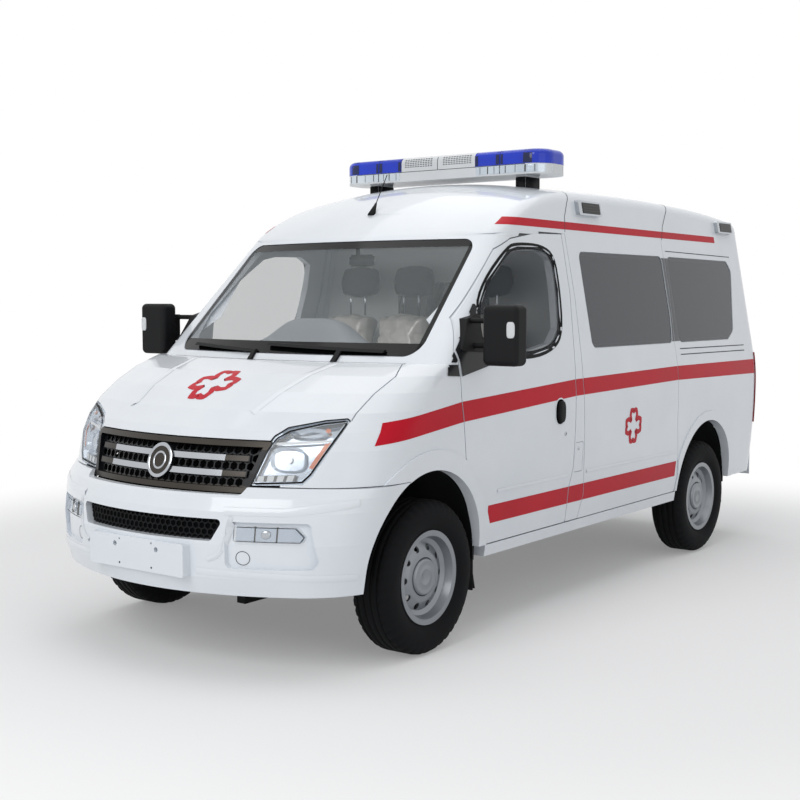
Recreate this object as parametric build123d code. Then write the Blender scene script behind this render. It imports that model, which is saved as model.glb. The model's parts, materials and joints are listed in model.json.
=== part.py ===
from build123d import *
from math import cos, radians, sin, sqrt
import os

os.makedirs("parts", exist_ok=True)

# Ambulance van, short wheelbase and middle roof. Millimetres; X forward, Y left, Z up.
# The origin is on the ground in the middle of the body's length.

# ---- driving dimensions
LENGTH = 4950
BODY_HALF = 999
CROWN_Z = 2345
WHEELBASE = 3100
FRONT_OVERHANG = 960
FRONT_AXLE = LENGTH / 2 - FRONT_OVERHANG
REAR_AXLE = FRONT_AXLE - WHEELBASE
WHEEL_Y = 855
TYRE_R = 364.5
RIM_R = 203
RIM_LIP_R = 222
WALL = 50
GAP = 6
GLASS_SINK = 4
GLASS_T = 6
BELT_Z = 1360
GUTTER_Z = 2022
FLOOR_Z = 600
FLOOR_T = 40


def st(x):
    """X of a station given as a distance ahead of the front axle."""
    return FRONT_AXLE + x


def save(node, shape):
    """Write one node as a STEP file."""
    export_step(shape, f"parts/{node}.step")


def box(x0, x1, y0, y1, z0, z1):
    """A box between two corners."""
    centre = ((x0 + x1) / 2, (y0 + y1) / 2, (z0 + z1) / 2)
    return Pos(*centre) * Box(abs(x1 - x0), abs(y1 - y0), abs(z1 - z0))


def side_prism(points, y0, y1, radius=0, grow=0):
    """A side-view outline of (station, z) points, run across the body from y0 to y1."""
    flat = make_face(Polyline(*[(st(x), z) for x, z in points], close=True))
    if radius:
        flat = fillet(flat.vertices(), radius)
    if grow:
        flat = offset(flat, amount=grow)
    plane = Plane(origin=(0, y0, 0), x_dir=(1, 0, 0), z_dir=(0, -1, 0))
    return extrude(plane * flat, -(y1 - y0))


def front_prism(points, x0, x1, radius=0, grow=0):
    """A front-view outline of (y, z) points, run along the body from x0 to x1."""
    flat = make_face(Polyline(*points, close=True))
    if radius:
        flat = fillet(flat.vertices(), radius)
    if grow:
        flat = offset(flat, amount=grow)
    plane = Plane(origin=(x0, 0, 0), x_dir=(0, 1, 0), z_dir=(1, 0, 0))
    return extrude(plane * flat, x1 - x0)


def plan_prism(points, z0, z1, radius=0, grow=0):
    """A plan-view outline of (station, y) points, run up from z0 to z1."""
    flat = make_face(Polyline(*[(st(x), y) for x, y in points], close=True))
    if radius:
        flat = fillet(flat.vertices(), radius)
    if grow:
        flat = offset(flat, amount=grow)
    return extrude(Plane.XY.offset(z0) * flat, z1 - z0)


def mirrored(shape):
    """The same shape on the other side of the van."""
    return mirror(shape, about=Plane.XZ)


def solid_of(shape):
    """The largest solid of a shape, without slivers."""
    solids = sorted(shape.solids(), key=lambda s: s.volume)
    return solids[-1]


# ---- outer form
SIDE_R_LOW = 4600
SIDE_R_HIGH = 1480
SIDE_BULGE_Z = 1080
SIDE_STRAIGHT_Z = 1350
_reach = SIDE_STRAIGHT_Z - SIDE_BULGE_Z
SIDE_LEAN = _reach / sqrt(SIDE_R_HIGH**2 - _reach**2)
HALF_AT_STRAIGHT = BODY_HALF - (SIDE_R_HIGH - sqrt(SIDE_R_HIGH**2 - _reach**2))


def half_width(z):
    """Half of the body's width at a height: two arcs, then a straight lean inward."""
    if z >= SIDE_STRAIGHT_Z:
        return HALF_AT_STRAIGHT - (z - SIDE_STRAIGHT_Z) * SIDE_LEAN
    radius = SIDE_R_HIGH if z > SIDE_BULGE_Z else SIDE_R_LOW
    return BODY_HALF - (radius - sqrt(radius**2 - (z - SIDE_BULGE_Z) ** 2))


def plan_face(z, nose, corner, radius, half, tail, tail_r):
    """A level section: a front arc, two corner arcs tangent to it and to straight sides."""
    run = corner - nose + radius
    corner_r = (radius**2 - run**2 - half**2) / (2 * (radius - half))
    centre_y = half - corner_r
    reach = radius - corner_r
    touch = (nose - radius + radius * run / reach, radius * centre_y / reach)
    # middle of the corner arc, half-way between its two tangent directions
    turn = 0.5 * (radians(90) + Vector(1, 0).get_angle(Vector(run, centre_y)) * radians(1))
    middle = (corner + corner_r * cos(turn), centre_y + corner_r * sin(turn))
    diag = tail_r * (1 - sqrt(0.5))
    edges = [
        Line((st(tail) + tail_r, half), (st(corner), half)),
        ThreePointArc((st(corner), half), (st(middle[0]), middle[1]), (st(touch[0]), touch[1])),
        ThreePointArc((st(touch[0]), touch[1]), (st(nose), 0), (st(touch[0]), -touch[1])),
        ThreePointArc((st(touch[0]), -touch[1]), (st(middle[0]), -middle[1]), (st(corner), -half)),
        Line((st(corner), -half), (st(tail) + tail_r, -half)),
        ThreePointArc(
            (st(tail) + tail_r, -half),
            (st(tail) + diag, -half + diag),
            (st(tail), -half + tail_r),
        ),
        Line((st(tail), -half + tail_r), (st(tail), half - tail_r)),
        ThreePointArc(
            (st(tail), half - tail_r),
            (st(tail) + diag, half - diag),
            (st(tail) + tail_r, half),
        ),
    ]
    return Plane.XY.offset(z) * make_face(edges)


# level sections of the lower body: z, nose station, corner station, front arc radius
LOWER_ROWS = (
    (360, 850, 330, 1500),
    (600, 860, 300, 1500),
    (800, 845, 260, 1560),
    (900, 815, 240, 1620),
    (1000, 780, 215, 1700),
    (1080, 722, 180, 1800),
    (1160, 632, 120, 1900),
    (1240, 500, 30, 2000),
    (1310, 335, -70, 2200),
    (BELT_Z, 150, -190, 2500),
)
# level sections of the front bumper, in the same columns
BUMPER_ROWS = (
    (372, 922, 350, 1420),
    (450, 946, 350, 1420),
    (600, 951, 350, 1420),
    (740, 932, 350, 1420),
    (800, 905, 350, 1420),
    (842, 862, 350, 1420),
)
SCREEN_R = 3740
SCREEN_BASE = 61
SCREEN_RAKE = 1.033
PILLAR_R = 120
TAIL = -3968
TAIL_R = 110
TOP_Z = 2450
NOSE_START = -194


def nose_form(inset=0):
    """The nose below the belt line and ahead of the front doors, or its inside."""
    faces = []
    for z, nose, corner, radius in LOWER_ROWS:
        level = z - inset
        lead = nose - 0.6 * inset
        half = half_width(level) - inset
        faces.append(plan_face(level, lead, corner, radius, half, TAIL + inset, TAIL_R))
    return loft(faces, ruled=True) & box(st(NOSE_START), 3000, -1300, 1300, 0, 3000)


def side_form(inset=0):
    """The body's cross-section run from the tail forward, with its rear corners rounded."""
    foot = LOWER_ROWS[0][0] - inset

    def at(z):
        return half_width(z) - inset

    mid_low = (SIDE_BULGE_Z + foot) / 2
    mid_high = (SIDE_BULGE_Z + SIDE_STRAIGHT_Z) / 2
    wire = [
        ThreePointArc((at(foot), foot), (at(mid_low), mid_low), (at(SIDE_BULGE_Z), SIDE_BULGE_Z)),
        ThreePointArc(
            (at(SIDE_BULGE_Z), SIDE_BULGE_Z),
            (at(mid_high), mid_high),
            (at(SIDE_STRAIGHT_Z), SIDE_STRAIGHT_Z),
        ),
        Line((at(SIDE_STRAIGHT_Z), SIDE_STRAIGHT_Z), (at(TOP_Z), TOP_Z)),
        Line((at(TOP_Z), TOP_Z), (0, TOP_Z)),
        Line((0, TOP_Z), (0, foot)),
        Line((0, foot), (at(foot), foot)),
    ]
    plane = Plane(origin=(st(TAIL) + inset, 0, 0), x_dir=(0, 1, 0), z_dir=(1, 0, 0))
    half = extrude(plane * make_face(wire), -TAIL + 300 - inset)
    whole = half + mirrored(half)
    corners = [e for e in whole.edges() if e.center().X < st(TAIL) + inset + 1 and abs(e.center().Y) > 600]
    corners = [e for e in corners if e.bounding_box().size.Z > 150]
    return fillet(corners, TAIL_R - 0.5 * inset)


def screen_form(inset=0):
    """Everything behind the windscreen: a long leaning cylinder."""
    rake = Vector(-SCREEN_RAKE, 0, 1).normalized()
    out = Vector(1, 0, SCREEN_RAKE).normalized()
    on_glass = Vector(st(SCREEN_BASE), 0, BELT_Z)
    centre = on_glass - out * SCREEN_R
    plane = Plane(origin=centre - rake * 6000, x_dir=(0, 1, 0), z_dir=rake)
    return extrude(plane * Circle(SCREEN_R - inset), 12000)


CROWN_R = 4000
FOREHEAD_R = 1520
FOREHEAD_X = -1553
FOREHEAD_START = -560
# the turned profile reaches below the body's foot, and its sector beyond the body's sides
ROOF_FOOT = 200
ROOF_SECTOR = 64


def roof_form(inset):
    """Everything under the roof: its side profile turned about a long axis below the crown."""
    base = CROWN_Z - 11 - FOREHEAD_R

    def on_arc(x):
        return base + sqrt(FOREHEAD_R**2 - (x - FOREHEAD_X) ** 2) - inset

    brow = (st(FOREHEAD_START), 0, on_arc(FOREHEAD_START))
    top = (st(FOREHEAD_X), 0, CROWN_Z - 11 - inset)
    aft = (st(-3050), 0, CROWN_Z - 13 - inset)
    end = (st(-4100), 0, CROWN_Z - 95 - inset)
    wire = [
        Polyline(end, (st(-4100), 0, ROOF_FOOT), (st(400), 0, ROOF_FOOT), (st(400), 0, 2500), brow),
        ThreePointArc(brow, (st(-900), 0, on_arc(-900)), top),
        ThreePointArc(top, (st(-2300), 0, CROWN_Z - inset), aft),
        ThreePointArc(aft, (st(-3600), 0, CROWN_Z - 42 - inset), end),
    ]
    axis = Axis((0, 0, CROWN_Z - CROWN_R), (1, 0, 0))
    return revolve(make_face(wire).rotate(axis, -ROOF_SECTOR / 2), axis, ROOF_SECTOR)


SHOULDER_R = 75


def body_form(inset=0):
    """The body behind the nose: sides, windscreen, roof and tail, or their inside."""
    form = solid_of(side_form(inset) & screen_form(inset))
    pillars = [
        e
        for e in form.edges()
        if 500 < abs(e.center().Y) < BODY_HALF and min(e.bounding_box().size.X, e.bounding_box().size.Z) > 50
        and e.center().X > st(-2000)
    ]
    form = fillet(pillars, PILLAR_R - 0.5 * inset)
    form = solid_of(form - box(st(NOSE_START), 3000, -1300, 1300, 0, BELT_Z - inset))
    form = solid_of(form & roof_form(inset))
    if inset > GLASS_SINK + GLASS_T:
        return form
    top_edges = [e for e in form.edges() if min(v.Z for v in e.vertices()) > 1900]
    rounded = [e for e in top_edges if e.geom_type != GeomType.CIRCLE]
    return fillet(rounded, SHOULDER_R) if not inset else form


# ---- panel outlines in side view: (station, z)
DOOR_FRONT_EDGE = (
    (-840, 1975), (-690, 1915), (-303, 1573), (-205, 1420), (-195, 1180), (-232, 905),
    (-413, 694), (-476, 560), (-462, 450),
)
DOOR_REAR_EDGE = ((-1262, 450), (-1262, 640), (-1296, 745), (-1304, 1233), (-1378, 1690))
DOOR_OUTLINE = ((-1382, 2019), (-1092, 2012)) + DOOR_FRONT_EDGE + DOOR_REAR_EDGE
MID_FRONT_EDGE = (
    (-1400, 450), (-1440, 592), (-1418, 745), (-1388, 1215), (-1428, 1678), (-1420, 2024),
)
MID_REAR_EDGE = (
    (-2642, 2024), (-2650, 1710), (-2613, 1379), (-2617, 894), (-2680, 549), (-2659, 450),
)
MID_OUTLINE = MID_REAR_EDGE + MID_FRONT_EDGE
POST_OUTLINE = (
    MID_FRONT_EDGE + ((-1382, 2024),) + tuple(reversed(DOOR_REAR_EDGE))
)
QUARTER_OUTLINE = tuple(reversed(MID_REAR_EDGE)) + ((-4200, 2024), (-4200, 450))
DOOR_WINDOW = (
    (-430, 1600), (-560, 1748), (-800, 1912), (-900, 1932), (-1138, 1936), (-1252, 1886),
    (-1253, 1717), (-1217, 1496), (-1110, 1412), (-856, 1376), (-440, 1400),
)
MID_WINDOW = ((-1546, 1925), (-1546, 1393), (-2585, 1393), (-2612, 1560), (-2612, 1925))
REAR_WINDOW = (
    (-2690, 1925), (-2690, 1393), (-3470, 1393), (-3577, 1450), (-3700, 1850), (-3640, 1918),
)
FLAP_OUTLINE = ((-1306, 885), (-1306, 720), (-1400, 720), (-1396, 885))
ROOF_OUTLINE = (
    (-4150, 2600), (-4150, GUTTER_Z), (-1010, GUTTER_Z), (-660, 1992), (-300, 1992), (-300, 2600),
)
# windscreen, rear door window and grille in front view: y, z
SCREEN_OUTLINE = ((-757, 1968), (757, 1968), (806, 1392), (-806, 1392))
TAIL_WINDOW = ((170, 1860), (170, 1420), (705, 1420), (668, 1860))
GRILLE_OUTLINE = ((-566, 1036), (566, 1036), (500, 814), (-500, 814))
INTAKE_OUTLINE = ((-455, 708), (455, 708), (405, 612), (-405, 612))
FOG_RECESS = ((470, 700), (806, 700), (836, 535), (816, 497), (470, 497))
FOG_LAMP = ((500, 682), (752, 682), (786, 640), (774, 612), (500, 612))
# bonnet in plan: station, y
BONNET_REAR = ((96, 0), (52, 400), (-40, 775))
BONNET_PLAN = BONNET_REAR + ((150, 862), (448, 846), (900, 640), (900, 0))
# everything outboard of the bonnet's side and rear edges
BONNET_OUTSIDE = BONNET_REAR + ((150, 862), (448, 846), (900, 640), (900, 1300), (-300, 1300), (-300, 0))
COWL_PLAN = ((-200, 0),) + BONNET_REAR + ((-200, 775),)
BONNET_LIP_Z = 1042
BUMPER_TOP_Z = 843
# headlamp seen square to the body's corner: distance across, z
LAMP_TURN = 37
LAMP_OUTLINE = (
    (-42, 850), (190, 858), (232, 895), (310, 1007), (400, 1134), (290, 1124), (126, 1092),
    (66, 1056), (30, 1009),
)
# wheel arches: centre height and radius, and how far the front one stands ahead of its axle
ARCH_FRONT = (40, 440, 437)
ARCH_REAR = (0, 460, 412)
LINER_T = 12


def lamp_prism(outline, grow=0, near=-400, far=1400, radius=8):
    """A lamp outline run along the direction in which the left headlamp faces."""
    flat = fillet(make_face(Polyline(*outline, close=True)).vertices(), radius)
    if grow:
        flat = offset(flat, amount=grow)
    facing = Vector(cos(radians(LAMP_TURN)), sin(radians(LAMP_TURN)), 0)
    across = Vector(-sin(radians(LAMP_TURN)), cos(radians(LAMP_TURN)), 0)
    plane = Plane(origin=Vector(st(0), 0, 0) + facing * near, x_dir=across, z_dir=facing)
    return extrude(plane * flat, far - near)


def both(shape):
    """A left-hand solid and its mirror image, as one node's shape."""
    return Compound(children=[*shape.solids(), *mirrored(shape).solids()])


def fused(*shapes):
    """Join shapes into one."""
    whole = shapes[0]
    for shape in shapes[1:]:
        whole = whole + shape
    return whole


def across(x, z, radius, y0, y1):
    """A cylinder across the body."""
    return Pos(x, (y0 + y1) / 2, z) * Rot(90, 0, 0) * Cylinder(radius, abs(y1 - y0))


def along(x0, x1, y, z, radius):
    """A cylinder along the body."""
    return Pos((x0 + x1) / 2, y, z) * Rot(0, 90, 0) * Cylinder(radius, abs(x1 - x0))


def arch_cut(axle, arch, y0, y1, grow=0):
    """A wheel arch: a round top on straight legs."""
    ahead, height, radius = arch
    radius = radius + grow
    legs = box(axle + ahead - radius, axle + ahead + radius, y0, y1, -50, height)
    return across(axle + ahead, height, radius, y0, y1) + legs


# ---- shells
OUTER = body_form()
INNER = body_form(WALL)
SHELL = (OUTER - INNER) + (nose_form() - nose_form(WALL) - INNER)
FLANGE_T = 14
FLANGE_W = 14
DOOR_LINING = body_form(FLANGE_T)
PANE_OUT = body_form(GLASS_SINK)
PANE_IN = body_form(GLASS_SINK + GLASS_T)
PANE_REBATE = 3
PANE_SEAT = 20


def glaze(panel, prism_of):
    """Cut a rebated opening in a panel; returns the panel and the pane that fills it."""
    pane = (PANE_OUT & prism_of(0)) - PANE_IN
    panel = panel - (prism_of(PANE_REBATE) - PANE_IN)
    panel = panel - prism_of(-PANE_SEAT)
    return panel, pane


def side_opening(points, radius):
    """Returns a function that makes a left-hand window prism, grown or shrunk."""

    def prism_of(grow):
        return side_prism(points, 300, 1200, radius=radius, grow=grow)

    return prism_of


SHELL_LEFT = SHELL & box(-3000, 3000, 0, 1300, 0, 3000)
HOUSE_IN = 535
HOUSE_OUT = 925
FRONT_ARCH = arch_cut(FRONT_AXLE, ARCH_FRONT, 500, 1300)
REAR_ARCH = arch_cut(REAR_AXLE, ARCH_REAR, 500, 1300)
FRONT_WELL = arch_cut(FRONT_AXLE, ARCH_FRONT, 300, HOUSE_OUT, grow=LINER_T)
REAR_WELL = arch_cut(REAR_AXLE, ARCH_REAR, 300, HOUSE_OUT, grow=LINER_T)


def side_panel(outline, grow):
    """The left shell inside a side-view outline."""
    return solid_of(SHELL_LEFT & side_prism(outline, 300, 1200, grow=grow))


FLARE_OUT = 7
FLARE_DEEP = 30


def flare(axle, arch, width):
    """A low raised band round a wheel arch, sunk into the panel that carries it."""
    ahead, height, radius = arch
    disc = across(axle + ahead, height, radius + width, 500, 1300)
    side = side_form(-FLARE_OUT) - side_form(FLARE_DEEP)
    behind = solid_of(side & disc & box(-3000, st(NOSE_START) + 1, 500, 1300, 0, 3000))
    if axle < 0:
        return behind
    nose = nose_form(-FLARE_OUT) - nose_form(FLARE_DEEP)
    return behind + solid_of(nose & disc & box(-3000, 3000, 500, 1300, 0, 3000))


def save_pair(node, shape):
    """Write a left-hand piece and its mirror image as two nodes."""
    save(f"{node}_left", shape)
    save(f"{node}_right", mirrored(shape))


def centred(half):
    """Join a left half to its mirror image."""
    return solid_of(half + mirrored(half))


# ---- front doors, hinged at their front edges
door = solid_of(SHELL_LEFT & side_prism(DOOR_OUTLINE, 300, 1200, radius=14, grow=-GAP / 2))
# a thin flange round the edge lets the deep part swing clear of the post
door_core = side_prism(DOOR_OUTLINE, 300, 1200, radius=14, grow=-GAP / 2 - FLANGE_W)
door = solid_of(door - (DOOR_LINING - door_core))
door, door_pane = glaze(door, side_opening(DOOR_WINDOW, 30))
save_pair("front_door", solid_of(door))
save_pair("front_door_glass", solid_of(door_pane))
DOOR_ZONE = side_prism(DOOR_OUTLINE, 300, 1200, radius=14, grow=GAP / 2)

# ---- middle side panel on the left, sliding door on the right
mid, mid_pane = glaze(side_panel(MID_OUTLINE, -2), side_opening(MID_WINDOW, 40))
save("mid_panel_left", solid_of(mid))
save("sliding_door_right", mirrored(solid_of(mid)))

# ---- rear quarters, between the side panels and the rear doors
REAR_DOOR_SIDE = 858
RAIL_Y = 470
RAIL_FOOT = 470
REAR_DOOR_FOOT = 746
quarter = side_panel(QUARTER_OUTLINE, -2)
rear_doorway = box(st(-4200), st(-3890), -REAR_DOOR_SIDE, REAR_DOOR_SIDE, 360, GUTTER_Z)
rear_flare = flare(REAR_AXLE, ARCH_REAR, 62) & side_prism(QUARTER_OUTLINE, 300, 1200, grow=-2)
quarter = quarter + rear_flare
quarter = solid_of(quarter - rear_doorway - REAR_ARCH - REAR_WELL)
quarter, quarter_pane = glaze(quarter, side_opening(REAR_WINDOW, 40))
save("quarter_panels", both(solid_of(quarter)))
save("fixed_side_glass", both(Compound(children=[solid_of(mid_pane), solid_of(quarter_pane)])))

# ---- rear doors, hinged at their outer edges, and the sill under them
tail_zone = box(st(-4200), st(-3890), 3, REAR_DOOR_SIDE - GAP, REAR_DOOR_FOOT, GUTTER_Z - GAP)


def tail_window(grow):
    """The rear door's window, run through the tail."""
    return front_prism(TAIL_WINDOW, st(-4100), st(-3700), radius=45, grow=grow)


rear_door, rear_pane = glaze(solid_of(SHELL_LEFT & tail_zone), tail_window)
save_pair("rear_door", solid_of(rear_door))
save_pair("rear_door_glass", solid_of(rear_pane))
tail_x = st(TAIL)
rear_sill = box(tail_x, tail_x + WALL, 1 - REAR_DOOR_SIDE, REAR_DOOR_SIDE - 1, 450, REAR_DOOR_FOOT - GAP)

# ---- posts between the front doors and the side panels, with the fuel filler's pocket
post = side_panel(POST_OUTLINE, -GAP / 2)
FLAP_T = 8
POCKET = 38
flap_hole = side_prism(FLAP_OUTLINE, 300, 1200, radius=12) - side_form(POCKET)
flap = (side_form(1) & side_prism(FLAP_OUTLINE, 300, 1200, radius=12, grow=-2.5)) - side_form(1 + FLAP_T)
save("fuel_flap", solid_of(flap))
filler_y = half_width(800)
filler = across(st(-1352), 800, 30, filler_y - POCKET - 2, filler_y - 16)
filler = filler + across(st(-1352), 800, 12, filler_y - 17, filler_y - 12)
left_post = solid_of((post - flap_hole) + filler)
save("door_posts", Compound(children=[left_post, mirrored(post)]))

# ---- roof
roof = solid_of(SHELL & side_prism(ROOF_OUTLINE, -1300, 1300))
save("roof", roof)

# ---- windscreen and the frame round it
frame_zone = box(st(-1200), st(300), -1300, 1300, BELT_Z, 1992) - side_prism(ROOF_OUTLINE, -1300, 1300)
frame = SHELL & frame_zone
frame = frame - DOOR_ZONE - mirrored(DOOR_ZONE)
over_bonnet = plan_prism(BONNET_PLAN, BELT_Z - 50, BELT_Z + GAP, grow=GAP / 2)
frame = frame - over_bonnet - mirrored(over_bonnet)
frame = solid_of(frame - box(st(-2000), st(-900), -1300, 1300, 1300, 1900))


def screen_opening(grow):
    """The windscreen's outline, run along the body."""
    return front_prism(SCREEN_OUTLINE, st(-900), st(400), radius=70, grow=grow)


frame, screen = glaze(frame, screen_opening)
save("windscreen_frame", solid_of(frame))
save("windscreen", solid_of(screen))

# ---- bonnet, cowl and front fenders
LAMP_CUT = lamp_prism(LAMP_OUTLINE, grow=8)
bonnet = SHELL_LEFT & plan_prism(BONNET_PLAN, BONNET_LIP_Z, BELT_Z)
bonnet = bonnet - plan_prism(BONNET_OUTSIDE, 900, 1400, grow=GAP / 2) - LAMP_CUT
save("bonnet", centred(bonnet))

# what the bonnet leaves of the nose: cowl, fenders and the openings in front
cowl = SHELL_LEFT & plan_prism(COWL_PLAN, BELT_Z - WALL - 1, BELT_Z)
cowl = cowl - plan_prism(BONNET_PLAN, 900, 1400, grow=GAP / 2)
save("cowl", centred(cowl))
fender_zone = box(st(-600), st(1100), 300, 1300, 450, BELT_Z)
fender = (SHELL_LEFT + flare(FRONT_AXLE, ARCH_FRONT, 95)) & fender_zone
fender = fender - DOOR_ZONE - lamp_prism(LAMP_OUTLINE, grow=2)
fender = fender - plan_prism(BONNET_PLAN, BONNET_LIP_Z - 3, BELT_Z + 10, grow=GAP / 2)
fender = fender - plan_prism(COWL_PLAN, BELT_Z - WALL - 60, BELT_Z + 10)
fender = fender - box(st(217), st(1100), -10, 1300, 300, BUMPER_TOP_Z + 3)
fender = solid_of(fender - box(st(560), st(1100), -10, 640, 800, 1100) - FRONT_ARCH - FRONT_WELL)
save("front_fenders", both(fender))

# ---- front bumper with its intake and lamp recesses
BUMPER_WALL = 40
BUMPER_BACK = 217


def bumper_form(inset):
    """The front bumper's outside, or its inside, from the wheel arch forward."""
    faces = []
    for z, nose, corner, radius in BUMPER_ROWS:
        level = z + inset * {BUMPER_ROWS[0][0]: -1, BUMPER_ROWS[-1][0]: 1}.get(z, 0)
        half = half_width(z) + 4 - inset
        faces.append(plan_face(level, nose - inset, corner, radius, half, TAIL, TAIL_R))
    return loft(faces, ruled=True) & box(st(BUMPER_BACK), 3000, -1300, 1300, 0, 3000)


BUMPER_INSIDE = bumper_form(BUMPER_WALL)
bumper = bumper_form(0) - BUMPER_INSIDE - front_prism(GRILLE_OUTLINE, st(500), st(1000), radius=12, grow=3)
bumper = bumper - front_prism(INTAKE_OUTLINE, st(500), st(1100), radius=18)
recess = front_prism(FOG_RECESS, st(450), st(1100), radius=22) - bumper_form(24)
bumper = bumper - recess - mirrored(recess)
bumper = bumper - FRONT_ARCH - mirrored(FRONT_ARCH)
bumper = solid_of(bumper - FRONT_WELL - mirrored(FRONT_WELL))
# number plate bracket, standing off the bumper with its fixing holes
PLATE_X = 960
PLATE_HALF = 305
bracket = box(st(PLATE_X - 62), st(PLATE_X), -PLATE_HALF, PLATE_HALF, 447, 594) - BUMPER_INSIDE
bracket = fillet(bracket.edges().filter_by(Axis.X), 10)
bumper = solid_of(bumper + bracket)
# plate fixing holes and the larger pair below them: half spacing, height, radius
for half_spacing, z, r in ((105, 578, 5), (135, 553, 12)):
    for y in (-half_spacing, half_spacing):
        bumper = bumper - along(st(PLATE_X - 90), st(PLATE_X + 20), y, z, r)
save("front_bumper", solid_of(bumper))

fog = (bumper_form(8) & front_prism(FOG_LAMP, st(450), st(1100), radius=10)) - bumper_form(24)
save("fog_lamps", both(solid_of(fog & box(-3000, 3000, 0, 1300, 0, 3000))))

# ---- grille: frame, mesh, bars and a plain badge; the lower mesh is in the bumper
GRILLE_DEPTH = 40
grille_band = front_prism(GRILLE_OUTLINE, st(500), st(1000), radius=12)
grille_inner = front_prism(GRILLE_OUTLINE, st(450), st(1100), radius=12, grow=-24)
nose_skin = nose_form(2)
nose_back = nose_form(GRILLE_DEPTH)
grille_frame = (nose_skin & grille_band) - nose_back - grille_inner
mesh_zone = front_prism(GRILLE_OUTLINE, st(500), st(1000), radius=12, grow=-20)
mesh = (nose_form(26) & mesh_zone) - nose_form(36)
grille = grille_frame
for z in (961, 894):
    grille = grille + ((nose_form(10) & box(st(500), st(1000), -480, 480, z - 13, z + 13)) - nose_form(28))
badge = (nose_form(0) & Pos(st(600), 0, 930) * Rot(0, 90, 0) * Cylinder(78, 700)) - nose_form(28)
grille = grille + badge
# rows of hexagonal holes, every second row shifted by half a pitch
HEX_PITCH = 40
HEX_FLATS = 33
HEX_ROWS = 5
HEX_COLUMNS = 15
HEX_FOOT_Z = 856
HEX_RIM = 6
GRILLE_FOOT_Z = 834
GRILLE_FOOT_HALF = 486
GRILLE_SPREAD = 0.297
hexagon = RegularPolygon(HEX_FLATS / sqrt(3), 6, rotation=30)
holes = []
for row in range(HEX_ROWS):
    z = HEX_FOOT_Z + row * HEX_PITCH * sqrt(3) / 2
    limit = GRILLE_FOOT_HALF + (z - GRILLE_FOOT_Z) * GRILLE_SPREAD - HEX_FLATS / 2 - HEX_RIM
    for column in range(-HEX_COLUMNS, HEX_COLUMNS):
        y = (column + 0.5 * (row % 2)) * HEX_PITCH
        if abs(y) < limit:
            plane = Plane(origin=(st(500), y, z), x_dir=(0, 1, 0), z_dir=(1, 0, 0))
            holes.append(extrude(plane * hexagon, 500).solid())
grille = solid_of(grille.fuse(solid_of(mesh.cut(*holes))))
save("grille", grille)
low_mesh = front_prism(INTAKE_OUTLINE, st(500), st(1100), radius=18, grow=8)
save("lower_grille", solid_of((BUMPER_INSIDE & low_mesh) - bumper_form(BUMPER_WALL + 10)))

# ---- headlamps: an open bowl and a clear lens over it
GRILLE_CLEAR = front_prism(GRILLE_OUTLINE, st(300), st(1100), radius=12, grow=3)
bowl_block = (nose_form(9) & lamp_prism(LAMP_OUTLINE, grow=2)) - nose_form(120) - GRILLE_CLEAR
bowl_hollow = lamp_prism(LAMP_OUTLINE, grow=-14) - nose_form(70)
save("headlamp_housings", both(solid_of(bowl_block - bowl_hollow)))
lens = (nose_form(2) & lamp_prism(LAMP_OUTLINE, grow=2)) - nose_form(9) - GRILLE_CLEAR
save("headlamp_lenses", both(solid_of(lens)))

# ---- rear bumper and tail lamps
REAR_TIP = -3990
rear_plan = make_face(
    Polyline(
        (st(-3380), 992), (st(REAR_TIP), 992), (st(REAR_TIP), -992), (st(-3380), -992), close=True
    )
)
tail_corners = [v for v in rear_plan.vertices() if v.X < st(-3900)]
rear_outer = fillet(tail_corners, 125)
rear_shell = extrude(Plane.XY.offset(418) * rear_outer, 322)
rear_core = extrude(Plane.XY.offset(360) * offset(rear_outer, amount=-45), 342)
rear_core = rear_core + box(st(-3500), st(-3300), -947, 947, 360, 702)
rear_bumper = rear_shell - rear_core - box(st(-3300), st(TAIL), -942, 942, 360, 800)
rear_bumper = rear_bumper - REAR_ARCH - mirrored(REAR_ARCH) - REAR_WELL - mirrored(REAR_WELL)
save("rear_bumper", solid_of(rear_bumper - OUTER - rear_flare - mirrored(rear_flare)))

TAIL_LAMP_T = 8
tail_lamp = (side_form(-TAIL_LAMP_T) & box(st(-4010), st(-3888), 870, 1100, 800, 1290)) - OUTER
save("tail_lamps", both(solid_of(tail_lamp)))

# ---- sills under the doors, floor, wheel housings and mud flaps
sill = side_form(2) & box(st(-2690), st(-470), 850, 1300, 388, 446)
sill = sill + box(st(-2690), st(-470), 850, 880, 388, FLOOR_Z - FLOOR_T)
sill = solid_of(sill - REAR_ARCH - FRONT_ARCH - REAR_WELL - FRONT_WELL)
save("sills", Compound(children=[sill, mirrored(sill), rear_sill]))

WIDE_FLOOR_X = -1275
floor = box(st(WIDE_FLOOR_X - 10), st(-70), -880, 880, FLOOR_Z - FLOOR_T, FLOOR_Z)
floor = floor + (INNER & box(st(-3915), st(WIDE_FLOOR_X), -1300, 1300, FLOOR_Z - FLOOR_T, FLOOR_Z))
for side in (1, -1):
    rail_y = side * RAIL_Y
    floor = floor + box(st(-3900), st(-270), rail_y - 40, rail_y + 40, RAIL_FOOT, FLOOR_Z - FLOOR_T + 1)
for axle, arch in ((FRONT_AXLE, ARCH_FRONT), (REAR_AXLE, ARCH_REAR)):
    well = arch_cut(axle, arch, HOUSE_IN, 1300, grow=LINER_T)
    floor = floor - well - mirrored(well)
save("floor", solid_of(floor))
liners = []
for axle, arch, foot in ((FRONT_AXLE, ARCH_FRONT, 380), (REAR_AXLE, ARCH_REAR, 412)):
    house = arch_cut(axle, arch, HOUSE_IN, HOUSE_OUT, grow=LINER_T)
    house = house - arch_cut(axle, arch, HOUSE_IN + LINER_T, HOUSE_OUT + 10)
    house = house - box(axle - 600, axle + 700, 0, 1300, -100, foot)
    liners.append(solid_of(house))
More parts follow.
